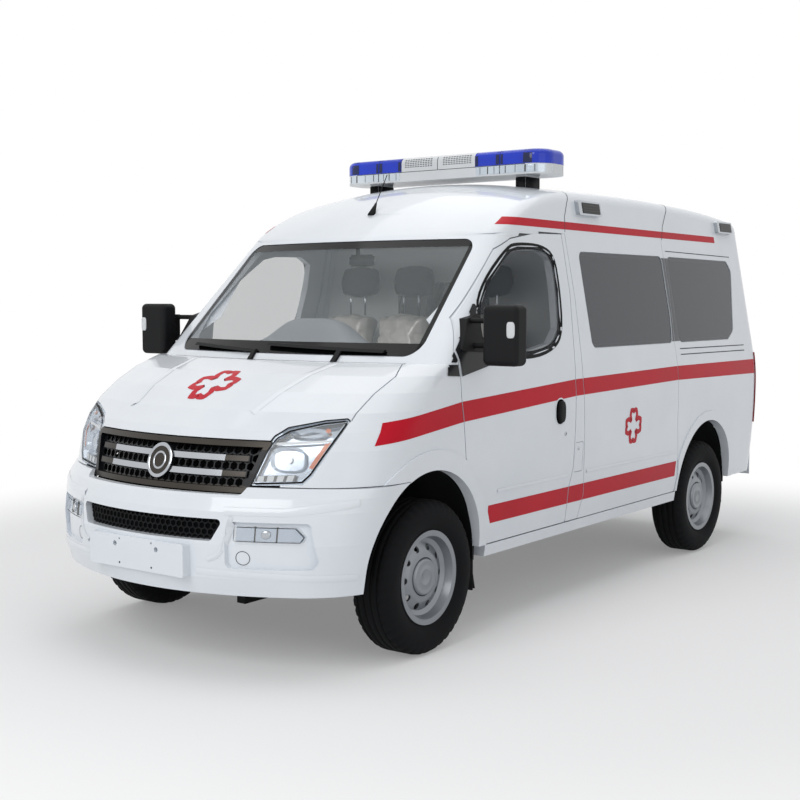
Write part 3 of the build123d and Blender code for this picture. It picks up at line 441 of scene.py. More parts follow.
@dataclass
class Workshop:
    """Holds the loaded frame and adds finished pieces to it."""

    frame: dict
    made: list[str] = field(default_factory=list)

    def node(self, name: str) -> bpy.types.Object:
        """The CAD node of that name."""
        return self.frame["nodes"][name]

    def body_of(self, name: str) -> str:
        """Finds the body that a CAD node belongs to.

        Args:
            name: The node's name.

        Returns:
            The body's name.
        """
        bodies = self.frame["record"]["behaviour"]["bodies"]
        return next(body for body, nodes in bodies.items() if name in nodes)

    def add(self, name: str, mesh: bpy.types.Mesh, finish: Finish, body: str) -> bpy.types.Object:
        """Adds one piece, dresses it and makes it ride on a body.

        Args:
            name: The piece's name.
            mesh: Its mesh, in metres in the shared frame.
            finish: What it is made of.
            body: The CAD body that carries it.

        Returns:
            The new object.
        """
        piece = bpy.data.objects.new(name, mesh)
        bpy.context.scene.collection.objects.link(piece)
        mesh.materials.clear()
        mesh.materials.append(finish.material())
        for polygon in mesh.polygons:
            polygon.use_smooth = True
        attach(piece, body)
        self.made.append(name)
        LOG.info("%s: %d faces on %s", name, len(mesh.polygons), body)
        return piece

    def block(
        self, name: str, low: Spot, high: Spot, finish: Finish, body: str, round_off: float = 0.012
    ) -> bpy.types.Object:
        """Makes a moulding between two corners, with broken edges.

        Args:
            name: The piece's name.
            low: Its lowest corner.
            high: Its highest corner.
            finish: What it is made of.
            body: The body that carries it.
            round_off: The radius of its edges.

        Returns:
            The piece.
        """
        shape = bmesh.new()
        bmesh.ops.create_cube(shape, size=1.0)
        for vertex in shape.verts:
            vertex.co = Vector([low[i] + (vertex.co[i] + 0.5) * (high[i] - low[i]) for i in range(3)])
        bmesh.ops.bevel(shape, geom=shape.edges[:], offset=round_off, segments=3, affect="EDGES")
        mesh = bpy.data.meshes.new(name)
        shape.to_mesh(mesh)
        shape.free()
        return self.add(name, mesh, finish, body)

    def turned(
        self, name: str, profile: tuple[Point, ...], centre: Vector, side: float, finish: Finish, body: str
    ) -> bpy.types.Object:
        """Turns a profile about an axle that runs across the van.

        Args:
            name: The piece's name.
            profile: Distance outward from the centre, and radius.
            centre: A point of the axle.
            side: 1 where outward is left, -1 where it is right.
            finish: What it is made of.
            body: The body that carries it.

        Returns:
            The piece.
        """
        points, faces = [], []
        for n in range(TURNED_SIDES):
            c, s = math.cos(math.tau * n / TURNED_SIDES), math.sin(math.tau * n / TURNED_SIDES)
            points += [(centre.x + r * c, centre.y + side * y, centre.z + r * s) for y, r in profile]
        rows = len(profile)
        for n in range(TURNED_SIDES):
            here, there = n * rows, (n + 1) % TURNED_SIDES * rows
            faces += [(here + k, here + k + 1, there + k + 1, there + k) for k in range(rows - 1)]
        mesh = bpy.data.meshes.new(name)
        mesh.from_pydata(points, [], faces)
        mesh.validate()
        shape = bmesh.new()
        shape.from_mesh(mesh)
        bmesh.ops.remove_doubles(shape, verts=shape.verts[:], dist=0.0001)
        bmesh.ops.recalc_face_normals(shape, faces=shape.faces[:])
        shape.to_mesh(mesh)
        shape.free()
        return self.add(name, mesh, finish, body)

    def patch(
        self,
        name: str,
        node: str,
        outline: tuple[Point, ...],
        facing: Facing,
        finish: Finish,
        lift: float = PATCH_LIFT,
    ) -> bpy.types.Object | None:
        """Lays a thin film on a CAD node inside a convex outline.

        Args:
            name: The piece's name.
            node: The node that it lies on.
            outline: Corners of a convex outline on the facing's two axes.
            facing: The side of the node that it lies on.
            finish: The film's finish.
            lift: How far it stands off, in metres.

        Returns:
            The new object, or None where the outline misses the node.
        """
        shape = bmesh.new()
        shape.from_mesh(self.node(node).data)
        hidden = [f for f in shape.faces if f.normal.dot(facing.out) < LEAST_FACING]
        bmesh.ops.delete(shape, geom=hidden, context="FACES")
        centre = [sum(p[i] for p in outline) / len(outline) for i in (0, 1)]
        for here, there in zip(outline, outline[1:] + outline[:1]):
            across = (there[1] - here[1], here[0] - there[0])
            away = across[0] * (here[0] - centre[0]) + across[1] * (here[1] - centre[1])
            sign = 1.0 if away > 0 else -1.0
            normal = (facing.across * across[0] + facing.up * across[1]) * sign
            bmesh.ops.bisect_plane(
                shape,
                geom=shape.verts[:] + shape.edges[:] + shape.faces[:],
                plane_co=facing.place(here),
                plane_no=normal.normalized(),
                clear_outer=True,
            )
        if not shape.faces:
            shape.free()
            return None
        bmesh.ops.remove_doubles(shape, verts=shape.verts[:], dist=0.00005)
        shape.normal_update()
        for vertex in shape.verts:
            vertex.co += vertex.normal * lift
        mesh = bpy.data.meshes.new(name)
        shape.to_mesh(mesh)
        shape.free()
        return self.add(name, mesh, finish, self.body_of(node))


def rectangle(u0: float, v0: float, u1: float, v1: float) -> tuple[Point, ...]:
    """Corners of an upright rectangle, round from its first corner.

    Args:
        u0: The first corner's distance across.
        v0: The first corner's height.
        u1: The opposite corner's distance across.
        v1: The opposite corner's height.

    Returns:
        The four corners.
    """
    return (u0, v0), (u1, v0), (u1, v1), (u0, v1)


def along_van(points: tuple[Point, ...]) -> tuple[Point, ...]:
    """Turns points given by station and a second measure into places in the shared frame.

    Args:
        points: The points.

    Returns:
        The same points with their stations as X.
    """
    return tuple((st(x), other) for x, other in points)


def grown(outline: tuple[Point, ...], amount: float) -> tuple[Point, ...]:
    """Moves an outline's points away from its middle.

    Args:
        outline: The points.
        amount: How far they move, inward where it is negative.

    Returns:
        The new points.
    """
    middle = Vector((sum(u for u, _ in outline), sum(v for _, v in outline))) / len(outline)
    moved = []
    for point in outline:
        away = Vector(point) - middle
        moved.append(tuple(middle + away * max(0.0, 1 + amount / max(away.length, 1e-6))))
    return tuple(moved)


def dense(points: tuple[Point, ...], step: float, closed: bool = True) -> list[Point]:
    """Divides the sides of an outline into short lengths.

    Args:
        points: Its corners.
        step: The longest length that stays.
        closed: Whether the last corner joins the first.

    Returns:
        The points with those between them.
    """
    ends = points[1:] + points[:1] if closed else points[1:]
    made: list[Point] = []
    for here, there in zip(points, ends):
        start, run = Vector(here), Vector(there) - Vector(here)
        count = max(1, math.ceil(run.length / step))
        made += [tuple(start + run * (n / count)) for n in range(count)]
    return made if closed else made + [points[-1]]


def rounded(outline: tuple[Point, ...], rounds: int = 2) -> tuple[Point, ...]:
    """Cuts an outline's corners again and again, so that it turns smoothly.

    Args:
        outline: Its corners.
        rounds: How often the corners are cut.

    Returns:
        The smoother outline.
    """
    for _ in range(rounds):
        made: list[Point] = []
        for here, there in zip(outline, outline[1:] + outline[:1]):
            a, b = Vector(here), Vector(there)
            made += [tuple(a.lerp(b, 0.25)), tuple(a.lerp(b, 0.75))]
        outline = tuple(made)
    return outline


def oval(centre: Point, half: Point, count: int = 32, power: float = 2.0) -> tuple[Point, ...]:
    """Points round an ellipse, or round a box with full corners where the power is over 2.

    Args:
        centre: Its middle.
        half: Its half width and half height.
        count: How many points.
        power: 2 for an ellipse, more for squarer.

    Returns:
        The points in order.
    """
    made = []
    for n in range(count):
        c, s = math.cos(math.tau * n / count), math.sin(math.tau * n / count)
        u = math.copysign(abs(c) ** (2 / power), c)
        v = math.copysign(abs(s) ** (2 / power), s)
        made.append((centre[0] + half[0] * u, centre[1] + half[1] * v))
    return tuple(made)


@dataclass
class Layer:
    """Lays films, ribbons, beads and raised mouldings on one CAD node, seen from one side.

    Surfaces that turn away by more than steep, or that lie further in than shallow, are left bare.
    """

    shop: Workshop
    node: str
    facing: Facing
    steep: float = 0.0
    shallow: float = -9.0
    tree: BVHTree = field(init=False)

    def __post_init__(self) -> None:
        """Prepares the node's surface for rays."""
        data = self.shop.node(self.node).data
        places = [v.co for v in data.vertices]
        self.tree = BVHTree.FromPolygons(places, [tuple(p.vertices) for p in data.polygons])

    def touch(self, point: Point, lift: float) -> Vector | None:
        """Finds the surface under a point of the flat view.

        Args:
            point: The point.
            lift: How far the result stands off the surface.

        Returns:
            The place in space, or None where there is no surface.
        """
        far = 4.0
        out = self.facing.out
        hit, normal, _, _ = self.tree.ray_cast(self.facing.place(point, far), -out)
        if hit is None or abs(normal.dot(out)) < self.steep or hit.dot(out) < self.shallow:
            return None
        if normal.dot(out) < 0:
            normal = -normal
        return hit + normal * lift

    def lay(
        self, name: str, spots: list[Vector | None], faces: list[tuple[int, ...]], finish: Finish
    ) -> bpy.types.Object | None:
        """Makes the mesh of a laid piece, without the faces that reach past the surface.

        Args:
            name: The piece's name.
            spots: Its points, None where there was no surface.
            faces: Its faces.
            finish: What it is made of.

        Returns:
            The piece, or None where nothing is left.
        """
        kept = []
        for face in faces:
            corners_here = [spots[i] for i in face]
            if None in corners_here:
                continue
            a, b, c = corners_here[:3]
            if (b - a).cross(c - a).dot(self.facing.out) < 0:
                face = tuple(reversed(face))
            kept.append(face)
        if not kept:
            return None
        used = sorted({i for face in kept for i in face})
        order = {old: new for new, old in enumerate(used)}
        mesh = bpy.data.meshes.new(name)
        mesh.from_pydata([spots[i] for i in used], [], [tuple(order[i] for i in face) for face in kept])
        mesh.validate()
        return self.shop.add(name, mesh, finish, self.shop.body_of(self.node))

    def film(
        self,
        name: str,
        outline: tuple[Point, ...],
        finish: Finish,
        lift: float = FILM_LIFT,
        grid: float = 0.02,
    ) -> bpy.types.Object | None:
        """Lays a thin film of any outline.

        Args:
            name: The piece's name.
            outline: Its corners.
            finish: The film's finish.
            lift: How far it stands off.
            grid: The spacing of the points that follow the surface.

        Returns:
            The film.
        """
        flat, faces = self._fill(outline, grid)
        return self.lay(name, [self.touch(p, lift) for p in flat], faces, finish)

    def _fill(self, outline: tuple[Point, ...], grid: float) -> tuple[list[Point], list[tuple[int, ...]]]:
        """Fills an outline with triangles.

        Args:
            outline: Its corners.
            grid: The spacing of the points.

        Returns:
            The points and the triangles.
        """
        edge = dense(outline, grid)
        low = [min(p[i] for p in edge) for i in (0, 1)]
        high = [max(p[i] for p in edge) for i in (0, 1)]
        wide, tall = high[0] - low[0], high[1] - low[1]
        rows = max(1, round(tall / grid))
        columns = max(1, round(wide / grid))
        inner = [
            (low[0] + wide * column / columns, low[1] + tall * row / rows)
            for row in range(1, rows)
            for column in range(1, columns)
        ]
        made = delaunay_2d_cdt([Vector(p) for p in edge + inner], [], [list(range(len(edge)))], 1, 1e-5)
        return [tuple(v) for v in made[0]], [tuple(f) for f in made[2]]

    def ribbon(
        self,
        name: str,
        points: tuple[Point, ...],
        width: float,
        finish: Finish,
        height: float = 0.0,
        closed: bool = False,
        step: float = 0.012,
    ) -> bpy.types.Object | None:
        """Lays a strip along a line: a flat one, or a bead with a raised middle.

        Args:
            name: The piece's name.
            points: The line.
            width: The strip's width.
            finish: Its finish.
            height: How far its middle is raised.
            closed: Whether the line closes.
            step: The spacing of its points.

        Returns:
            The strip.
        """
        line = [Vector(p) for p in dense(points, step, closed)]
        spots: list[Vector | None] = []
        columns = (-0.5, 0.0, 0.5)
        for n, here in enumerate(line):
            before = line[n - 1] if n or closed else here
            after = line[(n + 1) % len(line)] if n < len(line) - 1 or closed else here
            along = (after - before).normalized()
            side = Vector((-along.y, along.x))
            for share in columns:
                rise = FILM_LIFT + (height if share == 0.0 else 0.0)
                spots.append(self.touch(tuple(here + side * width * share), rise))
        faces = []
        for n in range(len(line) if closed else len(line) - 1):
            here, there = n * 3, (n + 1) % len(line) * 3
            faces += [(here + k, here + k + 1, there + k + 1, there + k) for k in (0, 1)]
        return self.lay(name, spots, faces, finish)

    def boss(
        self,
        name: str,
        outline: tuple[Point, ...],
        finish: Finish,
        height: float,
        soft: float,
        grid: float = 0.015,
    ) -> bpy.types.Object | None:
        """Lays a raised moulding with a rounded rim.

        Args:
            name: The piece's name.
            outline: Its corners.
            finish: Its finish.
            height: How far it stands off.
            soft: The width of the rounded rim.
            grid: The spacing of its points.

        Returns:
            The moulding.
        """
        edge = tuple(dense(outline, grid))
        spots: list[Vector | None] = []
        # share of the rim's width that each ring lies in, and how far it stands off
        steps = ((0.0, -0.001), (0.0, height - soft), (0.3, height - 0.3 * soft), (1.0, height))
        for inset, lift in steps:
            spots += [self.touch(p, lift) for p in grown(edge, -inset * soft)]
        count = len(edge)
        faces = []
        for row in range(len(steps) - 1):
            low, high = row * count, (row + 1) * count
            for n in range(count):
                m = (n + 1) % count
                faces.append((low + n, low + m, high + m, high + n))
        top, fill = self._fill(grown(edge, -soft), grid)
        base = len(spots)
        spots += [self.touch(p, height) for p in top]
        faces += [tuple(base + i for i in face) for face in fill]
        piece = self.lay(name, spots, faces, finish)
        if piece:
            shape = bmesh.new()
            shape.from_mesh(piece.data)
            bmesh.ops.remove_doubles(shape, verts=shape.verts[:], dist=0.0002)
            bmesh.ops.recalc_face_normals(shape, faces=shape.faces[:])
            shape.to_mesh(piece.data)
            shape.free()
        return piece


SIDES = (("left", Facing.LEFT, Facing.LAMP_LEFT, 1.0), ("right", Facing.RIGHT, Facing.LAMP_RIGHT, -1.0))


# ---------------------------------------------------------------- sub-assemblies
@dataclass
class Bodywork:
    """Finishes of every CAD node, the black bands of the glass, seams, creases and small body fittings."""

    shop: Workshop
    seam: float = 0.005
    # stations and heights of the door glass opening
    door_glass: tuple[Point, ...] = (
        (-0.43, 1.6), (-0.56, 1.748), (-0.8, 1.912), (-0.9, 1.932), (-1.138, 1.936), (-1.252, 1.886),
        (-1.253, 1.717), (-1.217, 1.496), (-1.11, 1.412), (-0.856, 1.376), (-0.44, 1.4),
    )
    # station from, station to, foot and head of each side lamp's lens
    strobes: tuple[tuple[float, float, float, float], ...] = (
        (-1.83, -1.625, 2.145, 2.205),
        (-3.755, -3.565, 2.121, 2.179),
    )
    roof_joints: tuple[tuple[Point, ...], ...] = (
        ((-1.425, 2.03), (-1.45, 2.12), (-1.5, 2.2), (-1.56, 2.27)),
        ((-2.655, 2.03), (-2.7, 2.12), (-2.77, 2.2), (-2.84, 2.27)),
    )
    rail: tuple[tuple[Point, ...], ...] = (
        ((-2.68, 1.352), (-3.72, 1.346)),
        ((-2.68, 1.316), (-3.72, 1.31)),
    )
    # corners of the black cover at the foot of the pillar, under the door mirror
    sail: tuple[Point, ...] = (
        (-0.014, 1.306), (-0.073, 1.372), (-0.161, 1.471), (-0.276, 1.573), (-0.427, 1.668),
        (-0.44, 1.6), (-0.44, 1.45), (-0.47, 1.34), (-0.183, 1.292),
    )
    # the same cover's part on the pillar and on the wing
    sail_foot: tuple[Point, ...] = (
        (-0.09, 1.305), (-0.25, 1.295), (-0.25, 1.52), (-0.17, 1.43), (-0.11, 1.35),
    )
    crease: tuple[Point, ...] = ((-0.53, 0.712), (-1.24, 0.712))
    crease_rear: tuple[Point, ...] = ((-1.45, 0.712), (-2.61, 0.708))
    quarter_line: tuple[Point, ...] = ((-2.68, 1.962), (-3.7, 1.95))
    # pressed line that runs down from the lower intake and in to the number-plate bracket
    mouth: tuple[Point, ...] = ((0.49, 0.72), (0.475, 0.65), (0.455, 0.575), (0.43, 0.545), (0.39, 0.53))
    # the bumper's two creases, in the headlamp's flat view
    foot_crease: tuple[Point, ...] = ((-0.28, 0.476), (0.1, 0.466), (0.434, 0.453))
    shoulder_crease: tuple[Point, ...] = ((-0.15, 0.745), (0.12, 0.746), (0.441, 0.783))
    # station and distance across of the bonnet's crease
    bonnet_crease: tuple[Point, ...] = ((0.6, 0.39), (0.44, 0.425), (0.2, 0.46), (0.06, 0.48))
    # centres of the door's handle and lock, and of the fuel flap's lock
    handle: Point = (-1.131, 1.066)
    lock: Point = (-1.193, 0.944)
    flap_lock: Point = (-1.345, 0.85)
    # distance across and height of the towing cap and of the bracket's lower holes
    towing_cap: Point = (0.533, 0.54)
    low_hole: Point = (0.105, 0.468)
    # lowest and highest corner of the left board that backs a mud flap, by station
    flap_board: tuple[Spot, Spot] = ((-0.41, 0.78, 0.225), (-0.402, 0.922, 0.5))
    # foot of the aerial by station and height, the way that it leans, and the boot's length
    aerial_foot: Point = (-0.735, 2.046)
    aerial_lean: Spot = (-0.62, 0.0, 1.0)
    boot_length: float = 0.085
    # steps that the door's seal looks outward for the skin and inward for the glass
    skin_steps: tuple[float, ...] = (0.002, 0.007, 0.012, 0.018, 0.025, 0.033, 0.042)
    glass_steps: tuple[float, ...] = (0.012, 0.02, 0.03)
    # heights at which the gutter looks for the roof, and then for the pillar below it
    gutter_head: float = 2.03
    gutter_feet: tuple[float, ...] = (2.01, 2.0, 1.99, 1.98, 1.965)

    def dress(self) -> None:
        """Gives each CAD node its finish."""
        for finish, names in NODE_FINISH:
            for name in names:
                data = self.shop.node(name).data
                data.materials.clear()
                data.materials.append(finish.material())

    def glass_bands(self) -> None:
        """Lays the ceramic bands of the windscreen, and films of privacy glass that bridge the side panes.
        """
        bands = {
            "top": rectangle(-0.78, 1.975, 0.78, 1.93),
            "foot": rectangle(-0.82, 1.45, 0.82, 1.38),
            "left": ((0.81, 1.38), (0.765, 1.975), (0.735, 1.975), (0.782, 1.38)),
            "right": ((-0.81, 1.38), (-0.765, 1.975), (-0.735, 1.975), (-0.782, 1.38)),
        }
        for side, outline in bands.items():
            self.shop.patch(f"windscreen_band_{side}", "windscreen", outline, Facing.FRONT, CERAMIC)
        between = rectangle(st(-2.565), 1.4, st(-2.735), 1.917)
        for label, facing, _, _ in SIDES:
            panel = "mid_panel_left" if label == "left" else "sliding_door_right"
            for node in (panel, "quarter_panels"):
                self.shop.patch(f"glass_bridge_{node}_{label}", node, between, facing, PRIVACY, lift=0.0015)

    def seams(self) -> None:
        """Lays seals, seams and pressed creases along both sides, and those of the bonnet and bumper."""
        for label, facing, lamp, sign in SIDES:
            self._door_surround(label, facing)
            mouth = tuple((y * sign, z) for y, z in self.mouth)
            front = Layer(self.shop, "front_bumper", Facing.FRONT)
            front.ribbon(f"mouth_crease_{label}", mouth, 0.022, ENAMEL, height=0.006, step=0.02)
            self._side_seams(label, facing)
            bumper = Layer(self.shop, "front_bumper", lamp)
            for part, line, width, height in (
                ("foot", self.foot_crease, 0.03, 0.004),
                ("shoulder", self.shoulder_crease, 0.035, 0.005),
            ):
                bumper.ribbon(f"bumper_{part}_crease_{label}", line, width, ENAMEL, height=height)
            bonnet = Layer(self.shop, "bonnet", Facing.TOP)
            line = tuple((st(x), y * sign) for x, y in self.bonnet_crease)
            bonnet.ribbon(f"bonnet_crease_{label}", line, 0.045, ENAMEL, height=0.004, step=0.03)

    def _door_surround(self, label: str, facing: Facing) -> None:
        """Lays the door glass's seal, the cover under the mirror and the gutter strip.

        Args:
            label: The side's name.
            facing: The side that they face.
        """
        skin = Layer(self.shop, f"front_door_{label}", facing, steep=0.75, shallow=0.8)
        self._glass_seal(label, skin)
        skin.film(f"sail_cover_{label}", along_van(self.sail), CHARCOAL, lift=0.004, grid=0.01)
        for node in ("windscreen_frame", "front_fenders"):
            fixed = Layer(self.shop, node, facing, steep=0.75, shallow=0.85)
            name = f"sail_foot_{node}_{label}"
            fixed.film(name, along_van(self.sail_foot), CHARCOAL, lift=0.004, grid=0.01)
        self._gutter(label, facing)

    def _side_seams(self, label: str, facing: Facing) -> None:
        """Lays the creases, roof joints and rail lines of one side.

        Args:
            label: The side's name.
            facing: The side that they face.
        """
        door = Layer(self.shop, f"front_door_{label}", facing)
        door.ribbon(f"door_crease_{label}", along_van(self.crease), 0.02, ENAMEL, height=0.003)
        panel = Layer(self.shop, "mid_panel_left" if label == "left" else "sliding_door_right", facing)
        panel.ribbon(f"side_crease_{label}", along_van(self.crease_rear), 0.02, ENAMEL, height=0.003)
        roof = Layer(self.shop, "roof", facing)
        for number, joint in enumerate(self.roof_joints):
            roof.ribbon(f"roof_joint_{label}_{number}", along_van(joint), self.seam, GAP_SHADOW)
        quarter = Layer(self.shop, "quarter_panels", facing)
        for number, line in enumerate(self.rail):
            quarter.ribbon(f"rear_rail_{label}_{number}", along_van(line), 0.006, GAP_SHADOW)
        quarter.ribbon(f"quarter_seam_{label}", along_van(self.quarter_line), self.seam, GAP_SHADOW)

    def _antenna_boot(self) -> None:
        """Stands a tapered rubber boot at the foot of the aerial's whip."""
        axis = Vector(self.aerial_lean).normalized()
        station, height = self.aerial_foot
        length = self.boot_length
        foot = Vector((st(station), 0.0, height)) + axis * length
        shape = bmesh.new()
        bmesh.ops.create_cone(shape, cap_ends=True, segments=24, radius1=0.022, radius2=0.005, depth=length)
        turn = axis.to_track_quat("Z", "Y").to_matrix().to_4x4()
        bmesh.ops.transform(shape, matrix=turn, verts=shape.verts[:])
        bmesh.ops.translate(shape, vec=foot + axis * (length / 2), verts=shape.verts[:])
        mesh = bpy.data.meshes.new("antenna_boot")
        shape.to_mesh(mesh)
        shape.free()
        self.shop.add("antenna_boot", mesh, POLYPROP, self.shop.body_of("antenna"))

    def _glass_seal(self, label: str, skin: Layer) -> None:
        """Lays the rubber seal that slopes from the door's skin down to its glass.

        Args:
            label: The side's name.
            skin: The door's outer skin.
        """
        glass = Layer(self.shop, f"front_door_glass_{label}", skin.facing)
        line = [Vector(p) for p in dense(rounded(along_van(self.door_glass)), 0.014)]
        middle = sum(line, Vector((0.0, 0.0))) / len(line)
        spots: list[Vector | None] = []
        for here in line:
            away = (here - middle).normalized()
            reach = next((d for d in self.skin_steps if skin.touch(here + away * d, 0.0)), 0.05)
            for beyond, lift in ((0.024, 0.0008), (0.012, 0.005), (0.0, 0.004)):
                spots.append(skin.touch(here + away * (reach + beyond), lift))
            inner = (glass.touch(here - away * d, 0.0015) for d in self.glass_steps)
            spots.append(next((spot for spot in inner if spot), None))
        faces = []
        for n in range(len(line)):
            here_row, next_row = n * 4, (n + 1) % len(line) * 4
            faces += [(here_row + k, here_row + k + 1, next_row + k + 1, next_row + k) for k in range(3)]
        skin.lay(f"door_glass_seal_{label}", spots, faces, EPDM)

    def _gutter(self, label: str, facing: Facing) -> None:
        """Fills the joint between the roof's foot and the pillar's head with a body-coloured strip.

        Args:
            label: The side's name.
            facing: The side that it faces.
        """
        roof, pillar = Layer(self.shop, "roof", facing), Layer(self.shop, "windscreen_frame", facing)
        count = 40
        spots: list[Vector | None] = []
        for n in range(count):
            x = st(-0.36 - 0.02 * n)
            head = roof.touch((x, self.gutter_head), PATCH_LIFT)
            feet = (pillar.touch((x, z), PATCH_LIFT) for z in self.gutter_feet)
            foot = next((spot for spot in feet if spot), None)
            spots += [head, foot or (head and head + Vector((0.0, 0.0, -0.024)))]
        faces = [(2 * n, 2 * n + 1, 2 * n + 3, 2 * n + 2) for n in range(count - 1)]
        roof.lay(f"gutter_strip_{label}", spots, faces, ENAMEL)

    def fittings(self) -> None:
        """Lays handles, locks, the towing cap, the bracket's lower holes and the side lamps' lenses."""
        for label, facing, _, sign in SIDES:
            self._door_handle(Layer(self.shop, f"front_door_{label}", facing), label)
            front = Layer(self.shop, "front_bumper", Facing.FRONT)
            y, z = self.towing_cap
            cap = oval((y * sign, z), (0.03, 0.03), 36)
            front.ribbon(f"towing_cap_gap_{label}", cap, 0.003, GAP_SHADOW, closed=True, step=0.006)
            y, z = self.low_hole
            hole = oval((y * sign, z), (0.005, 0.005), 16)
            # the hole is a black film of painted shade
            front.film(f"bracket_low_hole_{label}", hole, SHADE_BLACK, lift=0.0002)
            (x0, y0, z0), (x1, y1, z1) = self.flap_board
            low, high = sorted((y0 * sign, y1 * sign))
            self.shop.block(
                f"mud_flap_board_{label}", (st(x0), low, z0), (st(x1), high, z1), POLYPROP, "chassis", 0.003
            )
            self._strobe_lenses(Layer(self.shop, "side_strobes", facing), label)
        self._antenna_boot()
        flap = Layer(self.shop, "fuel_flap", Facing.LEFT)
        station, height = self.flap_lock
        flap.boss("flap_lock", oval((st(station), height), (0.01, 0.01), 20), CHROME, 0.003, 0.001)
        rear = Layer(self.shop, "rear_door_left", Facing.REAR)
        rear.boss("rear_handle", oval((0.09, 1.08), (0.055, 0.02), power=3.0), POLYPROP, 0.018, 0.006)

    def _door_handle(self, door: Layer, label: str) -> None:
        """Lays a front door's handle in its pocket, and the lock below it.

        Args:
            door: The door.
            label: The side's name.
        """
        centre = (st(self.handle[0]), self.handle[1])
        pocket = oval(centre, (0.054, 0.07), power=2.4)
        door.ribbon(f"handle_rim_{label}", pocket, 0.008, ENAMEL, height=0.003, closed=True)
        # the pocket's black film is painted shade in the recess
        door.film(f"handle_pocket_{label}", grown(pocket, -0.004), SHADE_BLACK, lift=0.0012)
        door.boss(f"handle_grip_{label}", oval(centre, (0.032, 0.058), power=2.6), POLYPROP, 0.02, 0.008)
        lock = (st(self.lock[0]), self.lock[1])
        door.boss(f"door_lock_{label}", oval(lock, (0.012, 0.012), 20), CHROME, 0.003, 0.001)
        # the lock's slot is a black film of painted shade
        door.film(f"door_lock_slot_{label}", oval(lock, (0.002, 0.007), 12), SHADE_BLACK, lift=0.004)

    def _strobe_lenses(self, strobe: Layer, label: str) -> None:
        """Lays a louvred lens on each side lamp.

        Args:
            strobe: The lamps' housings.
            label: The side's name.
        """
        for number, (x0, x1, z0, z1) in enumerate(self.strobes):
            lens = rectangle(st(x0), z0, st(x1), z1)
            strobe.film(f"strobe_lens_{label}_{number}", lens, CHARCOAL, lift=0.002, grid=0.03)
            for row in range(1, 4):
                z = z0 + (z1 - z0) * row / 4
                line = ((st(x0), z), (st(x1), z))
                strobe.ribbon(
                    f"strobe_louvre_{label}_{number}_{row}", line, 0.006, SMOKED, height=0.004, step=0.05
                )


@dataclass
class Stripes:
    """The three crimson stripes along each side, each laid panel by panel."""

    shop: Workshop
    # station, lower z and upper z of each stripe's corners
    belt: tuple[Spot, ...] = (
        (0.385, 1.02, 1.118),
        (-0.2, 1.082, 1.179),
        (-1.31, 1.14, 1.23),
        (-2.6, 1.16, 1.247),
        (-3.87, 1.145, 1.243),
    )
    low: tuple[Spot, ...] = ((-0.455, 0.555, 0.648), (-2.64, 0.552, 0.647))
    high: tuple[Spot, ...] = ((-0.72, 2.047, 2.09), (-3.49, 2.04, 2.081))
    # how far the front end of a stripe slants
    slant: float = 0.03

    def build(self) -> None:
        """Lays all stripes on both sides."""
        panels = {
            Facing.LEFT: ("front_door_left", "mid_panel_left"),
            Facing.RIGHT: ("front_door_right", "sliding_door_right"),
        }
        shared = ("front_fenders", "door_posts", "quarter_panels")
        for facing, own in panels.items():
            for label, rows, nodes in (
                ("belt", self.belt, own + shared),
                ("low", self.low, own + ("door_posts",)),
                ("high", self.high, ("roof",)),
            ):
                for node in nodes:
                    self._run(label, rows, node, facing)

    def _run(self, label: str, rows: tuple[Spot, ...], node: str, facing: Facing) -> None:
        """Lays one stripe's pieces on one panel.

        Args:
            label: The stripe's name.
            rows: Station, lower z and upper z along it.
            node: The panel.
            facing: The side of the van.
        """
        for number, (a, b) in enumerate(zip(rows, rows[1:])):
            tip = self.slant if number == 0 and label != "low" else 0.0
            outline = ((st(a[0] + tip), a[1]), (st(a[0] - tip), a[2]), (st(b[0]), b[2]), (st(b[0]), b[1]))
            name = f"stripe_{label}_{node}_{facing.name.lower()}_{number}"
            self.shop.patch(name, node, outline, facing, VINYL)


